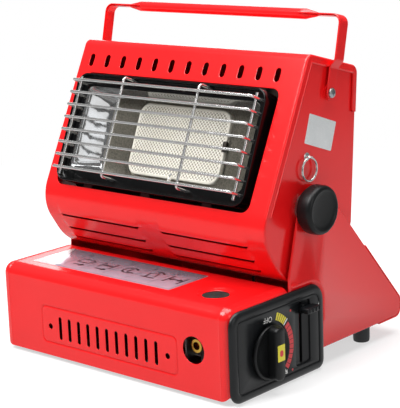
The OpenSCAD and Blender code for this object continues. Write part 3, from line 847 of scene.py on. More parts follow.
# The reflector's floor: straw grey with fine scale for the burner's heat tint, and darker than that as painted
# shade deep in the funnel.
TINTED_AND_SHADED_STEEL = Finish("straw_tinted_stainless_painted_shade", "#6F6B60", 0.42, 0.5, "#3E3B34", 1.3, 0.8, 0.1, 1.6, 0.05)
# Zinc plate, blue passivated: grey with a cloudy blue-yellow tone.
ZINC = Finish("zinc_plated_steel", "#A9AEB3", 0.34, 1.0, "#B7B19C", 6, 0.6, 0.08, 0.5, 0.006)
# Steel sheet that runs hot: blued and brown.
HEATED = Finish("heat_tinted_steel", "#3B3733", 0.45, 0.8, "#4A4038", 15, 0.6, 0.08, 0.6)
# Painted shade: a near-black, dead-matt strip behind the louvres, so that their slits read dark as shaded
# openings.
PAINTED_SHADE_STRIP = Finish("painted_shade_strip", "#140807", 0.95, other="#1B0C0A", drift_mm=10, grain_mm=0.8, ior=1.05)
# Die-cast aluminium as it leaves the mould: dull skin.
CAST = Finish("die_cast_aluminium", "#8E9092", 0.5, 1.0, "#7B7D80", 5, 0.6, 0.1, 0.9, 0.03)
# Turned brass: bright with tool lines.
BRASS = Finish("turned_brass", "#D3A84C", 0.22, 1.0, "#B98D3A", 5, 0.5, 0.06, 0.25, 0.006, (1, 0.2, 0.2))
# Cordierite plaque: cream and matt. Its ports are drawn at about twice their real pitch, so that
# they can still be told apart in a small picture.
PLAQUE = PerforatedCeramic("perforated_cordierite", "#F4F1E7", 0.8, other="#EAE5D6", drift_mm=14)
# The plaque's pressed margin without ports.
PLAQUE_EDGE = Finish("pressed_cordierite", "#F0ECE0", 0.75, other="#E6E0D0", drift_mm=9, grain_mm=0.5,
                     grain_depth=0.02)
# Glazed alumina: white glass skin.
GLAZE = Finish("glazed_alumina", "#F1EEE6", 0.12, other="#E4DFD2", drift_mm=4, grain_mm=1.5,
               grain_depth=0.004, coat=0.4)
# Ceramic fibre felt: soft and matt.
FELT = Finish("ceramic_fibre", "#D2CBBB", 0.9, other="#B9B19F", drift_mm=3, grain_mm=0.4, grain_depth=0.08)
# Moulded rubber: matt black, slightly dusty.
RUBBER = Finish("moulded_rubber", "#1A1B1D", 0.55, other="#26272A", drift_mm=6, grain_mm=0.6,
                grain_depth=0.02, rough_swing=0.08)
# Extruded gas hose: satin rubber with faint die lines.
HOSE = Finish("extruded_hose_rubber", "#1B1C1E", 0.45, other="#232427", drift_mm=10, grain_mm=0.7)
# Silicone sleeve of the spark lead: dark and soft.
SILICONE = Finish("silicone_sleeve", "#2B2728", 0.4, other="#332E2F", drift_mm=8, grain_mm=0.6,
                  grain_depth=0.006)
# Aluminised film under a lilac lacquer: fine brushed lines.
FILM = Finish("aluminised_film", "#BDB3C3", 0.16, 0.45, "#AFA5B6", 12, 0.7, 0.06, 0.35, 0.003, (0.1, 1, 1))
# Nearly white film: the side sticker's own bare film, and a painted highlight on the cover label's left end.
BARE_FILM_AND_GLARE = Finish("aluminised_film_bare_and_glare", "#E6E9EA", 0.24, 0.35, "#D6DADC", 12, 0.6, 0.05, 0.35, 0.003,
                   (0.1, 1, 1))


def ink(name: str, colour: str) -> Finish:
    """Screen-printed ink: matt, a touch uneven from the mesh."""
    return Finish(f"screen_ink_{name}", colour, 0.45, other=colour, drift_mm=2, grain_mm=0.3,
                  grain_depth=0.004, rough_swing=0.08)


INK_DARK = ink("dark", "#241C24")
INK_WHITE = ink("white", "#E9E9E6")
INK_YELLOW = ink("yellow", "#E9DC3C")
INK_RED = ink("red", "#D93A40")


def hand_over(bm: BMesh, name: str, finishes: Sequence[Finish], body: str,
              nodes: Sequence[str] = (), sharp: float = 38.0) -> bpy.types.Object:
    """Turns a mesh in millimetres into a finished piece that rides on its body.

    Args:
        bm: The mesh, which is used up.
        name: The piece's name.
        finishes: Its finishes, by material index.
        body: The body that it rides on; empty for a piece that rides on none.
        nodes: The model's nodes that it stands for.
        sharp: Edges that turn more than this are sharp.

    Returns:
        The piece.
    """
    bmesh.ops.scale(bm, vec=(MM, MM, MM), verts=bm.verts)
    mesh = bpy.data.meshes.new(name)
    bm.to_mesh(mesh)
    bm.free()
    for finish in finishes:
        mesh.materials.append(finish.material())
    mesh.shade_smooth()
    mesh.set_sharp_from_angle(angle=math.radians(sharp))
    piece = bpy.data.objects.new(name, mesh)
    bpy.context.scene.collection.objects.link(piece)
    if body:
        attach(piece, body)
    if nodes:
        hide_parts(*nodes)
    log.info("%s: %d faces on %s", name, len(mesh.polygons), body or "two bodies")
    return piece


# Profiles of pressed edges: insets with heights. A punched hole's edge is drawn in a little.
PUNCHED = [(-1.0, 0.0), (-0.4, 0.0), (-0.15, -0.06), (0.0, -0.35)]
# A groove, the same on both sides of its line.
GROOVE = [(-1.9, 0.0), (-1.2, 0.0), (-0.8, -0.1), (-0.35, -0.55), (0.0, -0.7),
          (0.35, -0.55), (0.8, -0.1), (1.2, 0.0), (1.9, 0.0)]
# A dish that is sunk round a hole.
DISH = [(-6.0, 0.0), (-5.2, 0.0), (-4.6, -0.1), (-3.6, -0.6), (-2.6, -1.3), (-1.6, -1.6), (-0.4, -1.65),
        (0.0, -2.0)]

# ---- Front cover ----


@dataclass
class FrontCover:
    """Fold-down cover of the cartridge bay, pressed from one sheet, with its hinge ears."""

    sheet: float = 1.0
    bend: float = 10.0
    end_r: float = 8.0
    crease_h: float = 0.35
    crease_half: float = 0.55
    low: float = 3.6
    vent_count: int = 11
    vent_pitch: float = 11.35
    vent_x: float = -2.6
    vent: tuple[float, ...] = (30.5, 3.6, 20.4, 1.79)
    screw_x: Spot = (-71.7, 66.9)
    screw: Spot = (30.4, 2.5)
    ridge: tuple[float, ...] = (-81.7, 77.6, 15.9, 48.5, 4.5)
    inlet: tuple[float, ...] = (95.5, 41.0, 11.4)
    window: tuple[float, ...] = (90.5, -84.65, 11.3)
    ear: tuple[Spot, ...] = ((-119.9, 3.9), (-114.5, 3.9), (-111.8, 7.5), (-114.5, 11.1), (-119.9, 11.1))
    ear_hole: tuple[float, ...] = (-115.45, 7.5, 2.06)
    ear_x: float = 121.4
    ear_sheet: float = 1.4
    section: BentSection = field(init=False)

    def __post_init__(self) -> None:
        """Lays out the cover's section: its top, the bend and its front."""
        faces = [Face(90, AT.box_h, self.bend), Face(180, -AT.front - self.crease_h, 0)]
        self.section = BentSection(faces, -AT.front - AT.box_d, -self.low)

    def on_front(self, x: float, z: float) -> Spot:
        """Net place of a point of the front."""
        return x, self.section.station(1, -z)

    def on_top(self, x: float, y: float) -> Spot:
        """Net place of a point of the top."""
        return x, self.section.station(0, -y)

    def build(self) -> None:
        """Builds the cover, its hinge ears and its label."""
        net, half, end = Net(), AT.case_w / 2, self.section.length
        border = net.ring(fillet([(-half, 0), (half, 0), (half, end), (-half, end)], [0.3, 0.3, 10, 10]))
        x0, x1, z0, z1, r = self.ridge
        middle = self.on_front((x0 + x1) / 2, (z0 + z1) / 2)
        outer, inner = net.press(rounded(*middle, x1 - x0, z1 - z0, r), GROOVE)
        *place, r = self.inlet
        inlet, _ = net.press(disc(*self.on_front(*place), r), PUNCHED)
        *place, r = self.window
        window, _ = net.press(disc(*self.on_top(*place), r, 56), DISH)
        net.fill(border, outer, inlet, window)
        z, w, h, r = self.vent
        last = self.vent_count - 1
        vents = [self.vent_x + (i - last / 2) * self.vent_pitch for i in range(self.vent_count)]
        holes = [net.press(rounded(*self.on_front(x, z), w, h, r), PUNCHED)[0] for x in vents]
        z, r = self.screw
        holes += [net.press(disc(*self.on_front(x, z), r, 20), PUNCHED)[0] for x in self.screw_x]
        net.fill(inner, *holes)
        cuts, roll = end_roll(half, self.end_r, 7)
        crease = half - self.end_r - 1
        cuts += [s * (crease + d) for s in (1, -1) for d in (-1.2, -0.7, -0.3, 0.0, 0.3, 0.7, 1.2)]
        net.cut(cuts, self.section.cuts())
        net.lift(roll)
        net.lift(lambda x, _: self.crease_h * math.exp(-(((abs(x) - crease) / self.crease_half) ** 2)))
        bm = net.place(lambda p: Vector((p.x, *self.section.at(p.y, p.z))), self.sheet)
        hand_over(joined(bm, *self.ears()), "cover_sheet", [RED], "cover", ["canister_cover"])
        CoverLabel().build()

    def ears(self) -> list[BMesh]:
        """The two hinge ears behind the front."""
        made, out = [], self.ear_x
        for side in Side:
            net = Net()
            net.fill(net.ring(fillet(self.ear, [0.2, 3, 3.4, 3, 0.2])), net.ring(disc(*self.ear_hole, 24)(0)))
            made.append(net.place(lambda p: Vector((side.value * (out + p.z), p.x, p.y)), self.ear_sheet))
        return made


@dataclass
class CoverLabel:
    """Bare metal label on the cover's top, with plain signs of its own in a row."""

    across: Spot = (-111.0, 54.0)
    deep: Spot = (-101.25, -51.25)
    thick: float = 0.3
    glare_to: float = -82.0
    glare_slant: float = 26.0
    margin: float = 3.0
    line: float = 0.5
    divider: tuple[float, ...] = (1.5, 19.0, 0.22)

    def build(self) -> None:
        """Builds the film and the print on it."""
        (x0, x1), (y0, y1) = self.across, self.deep
        net, cy = Net(), (y0 + y1) / 2
        edge = [(0, -self.thick), (0, -0.05), (0.1, 0.0)]
        net.fill(net.press(rounded((x0 + x1) / 2, cy, x1 - x0, y1 - y0, 1.2), edge)[1])
        # Painted highlight: the label's end beyond a slanted line takes the nearly white film, as the light's
        # glare on it.
        corner, slope = Vector((self.glare_to, y0, 0)), Vector((y1 - y0, self.glare_slant, 0))
        net.slice(corner, slope)
        for face in net.bm.faces:
            face.material_index = int((face.calc_center_median() - corner).dot(slope) < 0)
        bm = net.place(lambda p: Vector((p.x, p.y, AT.box_h + self.thick + p.z)))
        hand_over(bm, "cover_label", [FILM, BARE_FILM_AND_GLARE], "cover", ["label_plate"])
        prints, w, cx = Net(), x1 - self.glare_to - self.margin, (x1 + self.glare_to) / 2
        prints.press(rounded(cx, cy, w, y1 - y0 - self.margin, 0.8), [(0, 0), (self.line, 0)])
        pitch = w / len(Glyph)
        lean, rise, half = self.divider
        for x in (cx - w / 2 + i * pitch for i in range(1, len(Glyph))):
            prints.patch(band([(x - lean, cy - rise), (x + lean, cy + rise)], half))
        for i, glyph in enumerate(Glyph):
            prints.patch(*glyph.strokes(Vector((cx - w / 2 + (i + 0.5) * pitch, cy))))
        bm = prints.place(lambda p: Vector((p.x, p.y, AT.box_h + self.thick + 0.02)))
        hand_over(bm, "label_print", [INK_DARK], "cover")


class Glyph(Enum):
    """Plain signs of the label: what is moved, and which way."""

    CARTRIDGE = "cartridge"
    SLIDE = "slide"
    TURN = "turn"
    TILT = "tilt"
    CLEAR = "clear"

    def strokes(self, at: Vector) -> list[Shape]:
        """Strokes of the sign, round a middle.

        Args:
            at: The sign's middle.

        Returns:
            Their outlines.
        """

        def line(*points: Spot, half: float = 1.0) -> Shape:
            """Stroke through points told from the sign's middle."""
            return band([at + Vector(p) for p in points], half)

        def arc(r: float, a0: float, a1: float) -> list[Spot]:
            """Points of an arc round the middle."""
            return [tuple(r * facing(a0 + (a1 - a0) * k / 10)) for k in range(11)]

        number = line((-9.5, 13), (-9.5, 17.5), half=0.5)
        arrow = [line((-5, -11), (6, -11)), line((3.2, -13), (6.4, -11), (3.2, -9))]
        shapes = {
            Glyph.CARTRIDGE: [line((-8, -4), (6, -4), (6, 5), (-8, 5), (-8, -3.6)),
                              line((6.6, -2), (8.8, -2), (8.8, 3), (6.6, 3)), *arrow],
            Glyph.SLIDE: [line((-7, 6), (-7, -6)), line((7, 6), (7, -6)),
                          line((-4, 0), (4, 0), half=1.6), *arrow],
            Glyph.TURN: [line(*arc(7, 30, 320)), line((4.2, -7.4), (5.6, -4.2), (8.4, -6)),
                         line((0, -3.4), (0, 3.4), half=1.3)],
            Glyph.TILT: [line((-7, -7), (7, -7)), line((-3, -6), (-6, 4), (2, 7), (5, -3)),
                         line(*arc(10, 40, 100))],
            Glyph.CLEAR: [line((-8, -8), (-8, 8)), line((8, -8), (8, 8)), line((-6.5, 0), (6.5, 0)),
                          line((-4, 2), (-6.6, 0), (-4, -2)), line((4, 2), (6.6, 0), (4, -2))],
        }
        return [number, *shapes[self]]


# ---- Base: wings, rear cover, feet ----


@dataclass
class Base:
    """The two wings that carry the head, the sheet over their rear edges and the feet."""

    sheet: float = 1.0
    gap: float = 0.3
    slope: Spot = (41.7003, 26.3)
    rear: float = 132.1
    edge_r: float = 1.5
    box_top: float = 71.3
    box_front: float = -111.95
    box_floor: float = 4.3
    tray_y: float = -2.25
    ledge: float = 78.3
    fronts: dict[Side, Spot] = field(default_factory=lambda: {Side.RIGHT: (165, 13.9), Side.LEFT: (176, 16.4)})
    foot_d: float = 16.0
    foot_in: float = 14.0

    def wing_shape(self, side: Side) -> Shape:
        """Outline of a wing with its box end, in depth and height.

        Args:
            side: Which wing; the left one's front edge stands farther back.

        Returns:
            The outline for each inset.
        """
        face, reach = self.fronts[side]
        low_rear = AT.pivot + Vector((self.rear, AT.wing_foot - AT.pivot_z))
        high_rear = AT.pivot + meet(0, self.rear, *self.slope)
        top = AT.pivot + meet(*self.slope, face, reach)
        if side is Side.RIGHT:
            ledge = AT.front + self.ledge
            front = [AT.pivot + meet(face, reach, 180, AT.pivot_y - ledge), Vector((ledge, self.box_top))]
            front_r = [4.0, 1.0]
        else:
            front = [AT.pivot + meet(face, reach, 270, AT.pivot_z - self.box_top)]
            front_r = [2.0]
        box = [(self.box_front, self.box_top), (self.box_front, self.box_floor), (self.tray_y, self.box_floor)]
        points = [low_rear, high_rear, top, *front, *box, (self.tray_y, AT.wing_foot)]
        radii = [8, 6, 24, *front_r, 2.5, 5, 2, 2]
        return lambda inset: fillet(points, radii, inset, 6.0)

    def build(self) -> None:
        """Builds all pieces of the base that the eye meets."""
        for side in Side:
            self.wing(side)
        self.rear_cover()
        self.feet()

    def wing(self, side: Side) -> None:
        """A wing plate whose edges turn in; the right one is pressed round the panel.

        Args:
            side: Which wing.
        """
        net = Net()
        flat, _ = net.press(self.wing_shape(side), edge_roll(self.edge_r))
        holes = [net.ring(disc(AT.pivot_y, AT.pivot_z, 4.06)(0))]
        if side is Side.RIGHT:
            holes.append(net.ring(disc(AT.knob_y, AT.knob_z, 9)(0)))
            holes.append(net.ring(rounded(AT.lever_y, AT.lever_z - 21, 7, 58, 3.49)(0)))
            corner, radius = Vector((-15.25, 60.6)), 19.2
            arc = [corner + radius * facing(90 - 10 * k) for k in range(10)]
            path = [(-38.0, 79.8), (-26.0, 79.8), *arc, (3.95, 50.0), (3.95, 42.0)]
            bead, crest = net.press(band(path, 2.3), [(0, 0), (0.5, 0.35), (1.1, 0.8), (1.7, 1.0)])
            holes.append(bead)
            net.fill(crest)
        net.fill(flat, *holes)
        bm = net.place(lambda p: Vector((side.value * (AT.wing_x + p.z), p.x, p.y)), self.sheet)
        name = side.name.lower()
        hand_over(bm, f"{name}_wing_plate", [RED], "base", [f"{name}_wing"])

    def rear_cover(self) -> None:
        """The sheet that wraps the wings' rear edges."""
        (angle, reach), over, bend = self.slope, self.gap + self.sheet, 8.3
        faces = [Face(270, AT.pivot_z - AT.wing_foot + over, bend), Face(360, self.rear + over, bend),
                 Face(360 + angle, reach + over, 0)]
        section, net = BentSection(faces, 99.9, -90.2), Net()
        net.patch(rounded(0, section.length / 2, 2 * AT.wing_x, section.length, 2.0))
        cuts, roll = end_roll(AT.wing_x, 1.2, 4)
        net.cut([*cuts, *mirrored(AT.wing_x - 2)], section.cuts())
        net.lift(roll)
        bm = net.place(lambda p: Vector((p.x, *(AT.pivot + section.at(p.y, p.z)))), self.sheet)
        hand_over(bm, "rear_sheet", [RED], "base", ["rear_cover"])

    def feet(self) -> None:
        """Moulded rubber feet: two tall ones behind and two low ones in front."""
        r, tall, low = self.foot_d / 2, AT.wing_foot, self.box_floor
        behind = [(0, 0.6), (r - 3.2, 0.6), (r - 2.6, 0), (r - 1.6, 0), (r - 0.9, 0.5), (r - 0.55, 3),
                  (r - 0.5, tall - 4), (r, tall - 3.4), (r, tall), (0, tall)]
        ahead = [(0, 0.4), (r - 3, 0.4), (r - 2.4, 0), (r - 1.3, 0), (r - 0.7, 0.5), (r, 3.6), (r, low),
                 (0, low)]
        for name, y, profile in (("rear_feet", 77.75, behind), ("front_feet", -96.25, ahead)):
            pair = [moved(spun(profile, 40), shift(s.value * (AT.wing_x - self.foot_in), y, 0)) for s in Side]
            hand_over(joined(*pair), f"{name}_rubber", [RUBBER], "base", [name])


# ---- Control panel, gas knob and lever ----


@dataclass
class ControlPanel:
    """Moulded panel on the right, with its dial, channel, gas knob and lock lever."""

    low: Spot = (-120.15, 1.0)
    high: Spot = (0.75, 76.6)
    face: float = 3.0
    wall: float = 0.85
    radii: tuple[float, ...] = (12, 8, 16, 12)
    well: tuple[Spot, ...] = ((-21, -23.5), (23.5, -23.5), (23.5, 23.5), (-19, 27.5))
    well_r: tuple[float, ...] = (20, 22.5, 22, 2.5)
    channel: tuple[float, ...] = (0.9, -20.4, 19.8, 54.6, 2.5)
    slit: tuple[float, ...] = (0.0, -20.6, 3.6, 52.4, 1.79)
    tick_in: float = 25.8
    tick_out: float = 32.2
    knob_r: float = 22.6
    word_size: float = 6.4

    def shape(self, inset: float) -> list[Vector]:
        """The panel's outline, drawn inwards."""
        (y0, z0), (y1, z1) = self.low, self.high
        return fillet([(y0, z0), (y1, z0), (y1, z1), (y0, z1)], self.radii, inset)

    def build(self) -> None:
        """Builds the panel and all that is on it."""
        self.moulding()
        self.dial()
        self.word()
        self.knob()
        self.tag()
        self.lever()

    def moulding(self) -> None:
        """The panel: a thick rounded rim, a step and a flat face with the lever's channel."""
        net, f = Net(), self.face
        rim = [(0, 0), (0, 0.7), (0.3, 1.5), (0.9, 2.3), (2.0, 3.0), (3.6, 3.5), (5.4, 3.6), (6.6, 3.5),
               (7.1, 3.2), (7.3, f - 0.4), (7.8, f - 0.45), (8.2, f - 0.1), (8.7, f)]
        _, flat = net.press(self.shape, rim)
        shaft, _ = net.press(disc(AT.knob_y, AT.knob_z, 7), [(0, f - 1.1), (0, f - 2)])
        around = [(AT.knob_y + y, AT.knob_z + z) for y, z in self.well]
        sunk = [(-0.3, f), (0, f - 0.2), (0.1, f - 0.95), (0.4, f - 1.1)]
        pocket, well = net.press(lambda inset: fillet(around, self.well_r, inset), sunk)
        y, z, w, h, r = self.channel
        walls = [(-0.5, f), (0, f - 0.3), (0.25, 1.3), (0.6, 1.1)]
        channel, floor = net.press(rounded(AT.lever_y + y, AT.lever_z + z, w, h, r), walls)
        y, z, w, h, r = self.slit
        edge = [(-0.3, 1.1), (0, 0.9), (0, -1.6)]
        slit, _ = net.press(rounded(AT.lever_y + y, AT.lever_z + z, w, h, r), edge)
        net.fill(flat, pocket, channel)
        net.fill(well, shaft)
        net.fill(floor, slit)
        bm = net.place(lambda p: Vector((AT.wing_x + p.z, p.x, p.y)), self.wall)
        hand_over(bm, "panel_moulding", [ABS], "base", ["control_panel"])

    @property
    def print_x(self) -> float:
        """Where the print lies, just over the panel's face."""
        return AT.wing_x + self.face + 0.05

    def printed(self, name: str, shapes: Sequence[Shape], finish: Finish) -> None:
        """Prints shapes round the knob's middle on the panel's face.

        Args:
            name: The piece's name.
            shapes: What is printed.
            finish: The ink.
        """
        net = Net()
        net.patch(*shapes)
        bm = net.place(lambda p: Vector((self.print_x, AT.knob_y + p.x, AT.knob_z + p.y)), 0.04)
        hand_over(bm, name, [finish], "base")

    def dial(self) -> None:
        """The dial's scale: a yellow field for lighting, a white tick and a red scale that widens."""
        near, far = self.tick_in, self.tick_out
        yellow = [wedge(44.6 + 5.3 * i, 48.6 + 5.3 * i, near, far) for i in range(5)]
        red = [wedge(-41.5 + 7.95 * i, -34.5 + 7.95 * i, near + 0.1, far - 0.08 * i) for i in range(10)]
        red += [disc(28.6, 27.3, 1.0, 12), disc(29.7, -23.6, 1.0, 12)]
        white = [
            wedge(40.6, 43.2, near, far + 0.4),
            band([(68.4, 20.8), (68.4, 25.4)], 0.55),
            band([(66.8, 23.6), (68.4, 25.8), (70.0, 23.6)], 0.55),
            band([(19.8, -20.6), (22.4, -24.4)], 0.6),
            band([(20.0, -24.2), (22.6, -24.6), (22.4, -22.0)], 0.5),
        ]
        self.printed("dial_yellow", yellow, INK_YELLOW)
        self.printed("dial_red", red, INK_RED)
        self.printed("dial_white", white, INK_WHITE)

    def word(self) -> None:
        """The dial's word for its closed place."""
        curve = bpy.data.curves.new("off", "FONT")
        curve.body, curve.size, curve.align_x, curve.align_y = "OFF", self.word_size, "CENTER", "CENTER"
        bm = as_drawn(bpy.data.objects.new("off", curve))
        moved(bm, on_side(self.print_x, AT.knob_y - 0.8, AT.knob_z + 27.0) @ rotation(176, "Z"))
        hand_over(bm, "dial_word", [INK_WHITE], "base")

    def knob(self) -> None:
        """The gas knob: a disc with a high grip across it."""
        r = self.knob_r
        plate = spun([(0, 0), (r - 1.2, 0), (r - 0.3, 0.3), (r, 1.0), (r, 2.1), (r - 0.5, 2.8), (r - 1.6, 3.0),
                      (r - 2.6, 2.8), (r - 3.4, 2.2), (r - 8, 1.9), (0, 1.7)])
        sides = [(0, 1.6), (0.05, 8.5), (0.2, 10.6), (0.5, 11.3), (0.95, 11.6)]
        grip = lidded(rounded(0, 0, 11, 2 * r - 0.8, 4.6), sides)
        bm = moved(joined(plate, grip), on_side(AT.panel_x + 0.3, AT.knob_y, AT.knob_z))
        hand_over(bm, "gas_knob_moulding", [NYLON], "gas_knob", ["gas_knob"])

    def tag(self) -> None:
        """The yellow tag on the knob's grip, with a red dot."""
        plate, mark = lidded(rounded(0, 1.2, 9.0, 13.6, 0.7), [(0, 0), (0, 0.2), (0.15, 0.3)]), Net()
        mark.patch(rounded(0, 1.0, 4.2, 5.4, 2.0), height=0.33)
        bm = moved(joined(plate, tinted(mark.place(), 1)), on_side(AT.wing_x + 15.5, AT.knob_y, AT.knob_z))
        hand_over(bm, "gas_knob_tag", [INK_YELLOW, INK_RED], "gas_knob", ["knob_marker"])

    def lever(self) -> None:
        """The lock lever: a blade through the slit and a ribbed tab to push."""
        x, y, z = AT.panel_x, AT.lever_y, AT.lever_z
        blade = block((AT.wing_x - 16, y - 1.4, z - 4), (x + 1, y + 1.4, z + 4), 0.2)
        tab = block((x + 0.6, y - 4.5, z - 2.3), (x + 9.4, y + 12.5, z + 2.3), 0.9, 3)
        starts = [y - 2.6 + 4.4 * i for i in range(4)]
        ribs = [block((x + 9.0, at, z - 1.7), (x + 10, at + 1.6, z + 1.7), 0.35) for at in starts]
        lever = joined(blade, tab, *ribs)
        hand_over(lever, "lock_lever_moulding", [ABS], "lock_lever", ["lock_lever"])


# ---- Head ----


@dataclass
class Head:
    """The tilting head: its wrapped shell with louvres and slots, and what is on its side.

    A louvre is told by how far below the tilt axis' foot its open edge lies, its height up the
    section and the width of the slit under its edge.
    """

    sheet: float = 1.0
    edge_r: float = 2.0
    slot_count: int = 12
    slot_pitch: float = 19.6
    slot_x: float = -5.6
    slot_up: float = 97.3
    slot: tuple[float, ...] = (5.4, 11.8, 2.69)
    opening: tuple[float, ...] = (-3.3, 32.7, 224.8, 105.8)
    opening_r: float = 8.0
    tab_x: tuple[float, ...] = (-77.5, -7.5, 62.5)
    tab: tuple[float, ...] = (10, 14, 1.0)
    tab_back: float = 2.2
    louvre_x: tuple[float, ...] = (-62.5, 59.5)
    louvres: tuple[tuple[float, float, float], ...] = ((-7.0, 12.3, 3.2), (8.5, 11.6, 3.9), (20.9, 8.2, 5.2))
    louvre_half: float = 49.5
    louvre_out: float = 1.05
    louvre_end: float = 7.0
    shade_strip_w: float = 236.0
    shade_strip_back: float = 2.2
    shade_strip_over: Spot = (10, 26)
    flange: float = 5.2
    bead_in: float = 1.1
    bead_h: float = 0.55
    bead_half: float = 0.55
    section: BentSection = field(init=False)

    def __post_init__(self) -> None:
        """Lays out the shell's section, from the back over the top and down the front."""
        back, reach = 355.6, 68.9
        faces = [Face(back, reach, 8), Face(434.9, 124.1, 7), Face(513.8, 46.5, 34), Face(573, 56.6, 47.7),
                 Face(630, 64, 64), Face(650, 64, 0)]
        self.section = BentSection(faces, meet(back, reach, 90, 69).dot(along(back)), 0.0)

    def on_front(self, x: float, up: float) -> Spot:
        """Net place of a point of the front, told up from the tilt axis."""
        return x, self.section.station(2, -up)

    def spot(self, p: Vector) -> Vector:
        """Place of a point of the wrap, with its ends folded onto the sides and beaded there.

        Args:
            p: The point of the net.

        Returns:
            The place.
        """
        over = max(abs(p.x) - AT.head_x, 0)
        y, z = AT.pivot + self.section.at(p.y, p.z - over)
        bead = self.bead_h * math.exp(-(((over - self.flange + self.bead_in) / self.bead_half) ** 2))
        return Vector((p.x - math.copysign(over - bead, p.x), y, z))

    def tabs(self) -> list[BMesh]:
        """Tabs pressed back from the opening's long edges, which hold the burner's frame."""
        made, (_, mid, _, high) = [], self.opening
        for x in self.tab_x:
            for up in (mid - high / 2, mid + high / 2):
                net = Net()
                net.patch(rounded(*self.on_front(x, up), *self.tab), height=-self.tab_back)
                # Painted shade: the tabs take the dark red finish, as they lie in the frame's shadow.
                made.append(tinted(net.place(self.spot, self.sheet), 1))
        return made

    def shade_strip(self) -> BMesh:
        """Near-black strip behind the louvres: painted shade that makes their slits read dark."""
        above, below = self.shade_strip_over
        stations = [self.section.station(3, row[0]) for row in self.louvres]
        low, high, net = stations[0] - above, stations[-1] + below, Net()
        net.patch(rounded(0, (low + high) / 2, self.shade_strip_w, high - low, 2.0), height=-self.shade_strip_back)
        net.cut([], self.section.cuts())
        return tinted(net.place(self.spot, self.sheet / 2), 2)

    def louvre(self, net: Net, x: float, down: float, rise: float, gap: float) -> list[BMEdge]:
        """Presses one louvre out of the net.

        Args:
            net: The shell's net.
            x: Its middle.
            down: How far below the axis' foot its open edge lies.
            rise: Its height, up the section.
            gap: Width of the slit under its edge.

        Returns:
            The edges round it and its slit.
        """
        edge, half, bm = self.section.station(3, down), self.louvre_half, net.bm
        verts = bmesh.ops.create_grid(bm, x_segments=28, y_segments=6, size=1)["verts"]
        for vert in verts:
            across, q = vert.co.x, (vert.co.y + 1) / 2
            from_end = half * (1 - abs(across)) ** 1.5
            taper = math.sqrt(1 - (1 - min(from_end / self.louvre_end, 1)) ** 2)
            height = self.louvre_out * taper * q * q * (3 - 2 * q)
            vert.co = (x + math.copysign(half - from_end, across), edge - rise * (1 - q), height)
        mouth = sorted((v for v in verts if abs(v.co.y - edge) < 10 * NEAR), key=lambda v: v.co.x)
        border = [e for e in bm.edges if e.is_boundary and all(v in verts for v in e.verts)
                  and not all(v in mouth for v in e.verts)]
        right, left = mouth[-1], mouth[0]
        low = [bm.verts.new((right.co.x - 3, edge + gap, 0)), bm.verts.new((left.co.x + 3, edge + gap, 0))]
        line = [right, *low, left]
        return border + [bm.edges.new(pair) for pair in zip(line, line[1:])]

    def shell(self) -> None:
        """The one-piece wrap, with slots, burner mouth and two columns of louvres."""
        net, half, end = Net(), AT.head_x, self.section.length
        wide, last = half + self.flange, self.section.bends[2][0]
        ends = [(wide, 0), (wide, last), (half, last + 2), (half, end)]
        around = [*ends, *((-x, s) for x, s in reversed(ends))]
        rings = [net.ring(fillet(around, [2.5, 2.2, 0.8, 2, 2, 0.8, 2.2, 2.5]))]
        x, up, w, h = self.opening
        rings.append(net.press(rounded(*self.on_front(x, up), w, h, self.opening_r), PUNCHED)[0])
        for i in range(self.slot_count):
            x = self.slot_x + (i - (self.slot_count - 1) / 2) * self.slot_pitch
            rings.append(net.press(rounded(*self.on_front(x, self.slot_up), *self.slot), PUNCHED)[0])
        loose = []
        for x in self.louvre_x:
            for row in self.louvres:
                loose += self.louvre(net, x, *row)
        net.fill(*rings, loose=loose)
        cuts, roll = end_roll(half, self.edge_r, 5)
        bead = [s * (wide - self.bead_in + d) for s in (1, -1) for d in (-1.1, -0.6, -0.3, 0.0, 0.3, 0.6)]
        net.cut([*cuts, *mirrored(half - self.edge_r - 0.7, half), *bead], self.section.cuts())
        net.lift(roll)
        bm = joined(net.place(self.spot, self.sheet), *self.tabs(), self.shade_strip())
        hand_over(bm, "head_wrap", [RED, RED_PAINTED_SHADE, PAINTED_SHADE_STRIP], "head", ["head_shell"])

    def sticker(self) -> None:
        """Bare metal sticker on the right side plate."""
        film = lidded(rounded(0, 0, 37.8, 24.9, 1.0), [(0, 0), (0, 0.22), (0.1, 0.3)])
        bm = moved(film, on_side(AT.side_x, AT.pivot_y + 24.7, AT.pivot_z + 58.7) @ rotation(-19, "Z"))
        hand_over(bm, "side_sticker", [BARE_FILM_AND_GLARE], "head", ["side_label"])

    def build(self) -> None:
        """Builds the shell and what is fixed to it."""
        self.shell()
        self.sticker()
        self.lug()

    def lug(self) -> None:
        """Riveted eye that the ring hangs in."""
        base = spun([(0, 0), (3.6, 0), (3.6, 0.4), (3.2, 0.8), (1.4, 1.1), (0, 1.2)], 32)
        eye = bmesh.new()
        bmesh.ops.create_circle(eye, segments=14, radius=0.75, matrix=shift(2.3, 0, 0) @ rotation(90, "X"))
        moved(swept(eye, eye.edges[:], 32), shift(0, 0, 3) @ rotation(90, "X"))
        geom = eye.verts[:] + eye.edges[:] + eye.faces[:]
        bmesh.ops.bisect_plane(eye, geom=geom, plane_co=(0, 0, 0.2), plane_no=(0, 0, -1), clear_outer=True)
        bmesh.ops.holes_fill(eye, edges=[e for e in eye.edges if e.is_boundary], sides=0)
        bm = moved(joined(base, eye), on_side(AT.side_x, AT.lug_y, AT.lug_z))
        hand_over(bm, "ring_eye", [CHROME], "head", ["ring_lug"])


# ---- Burner ----


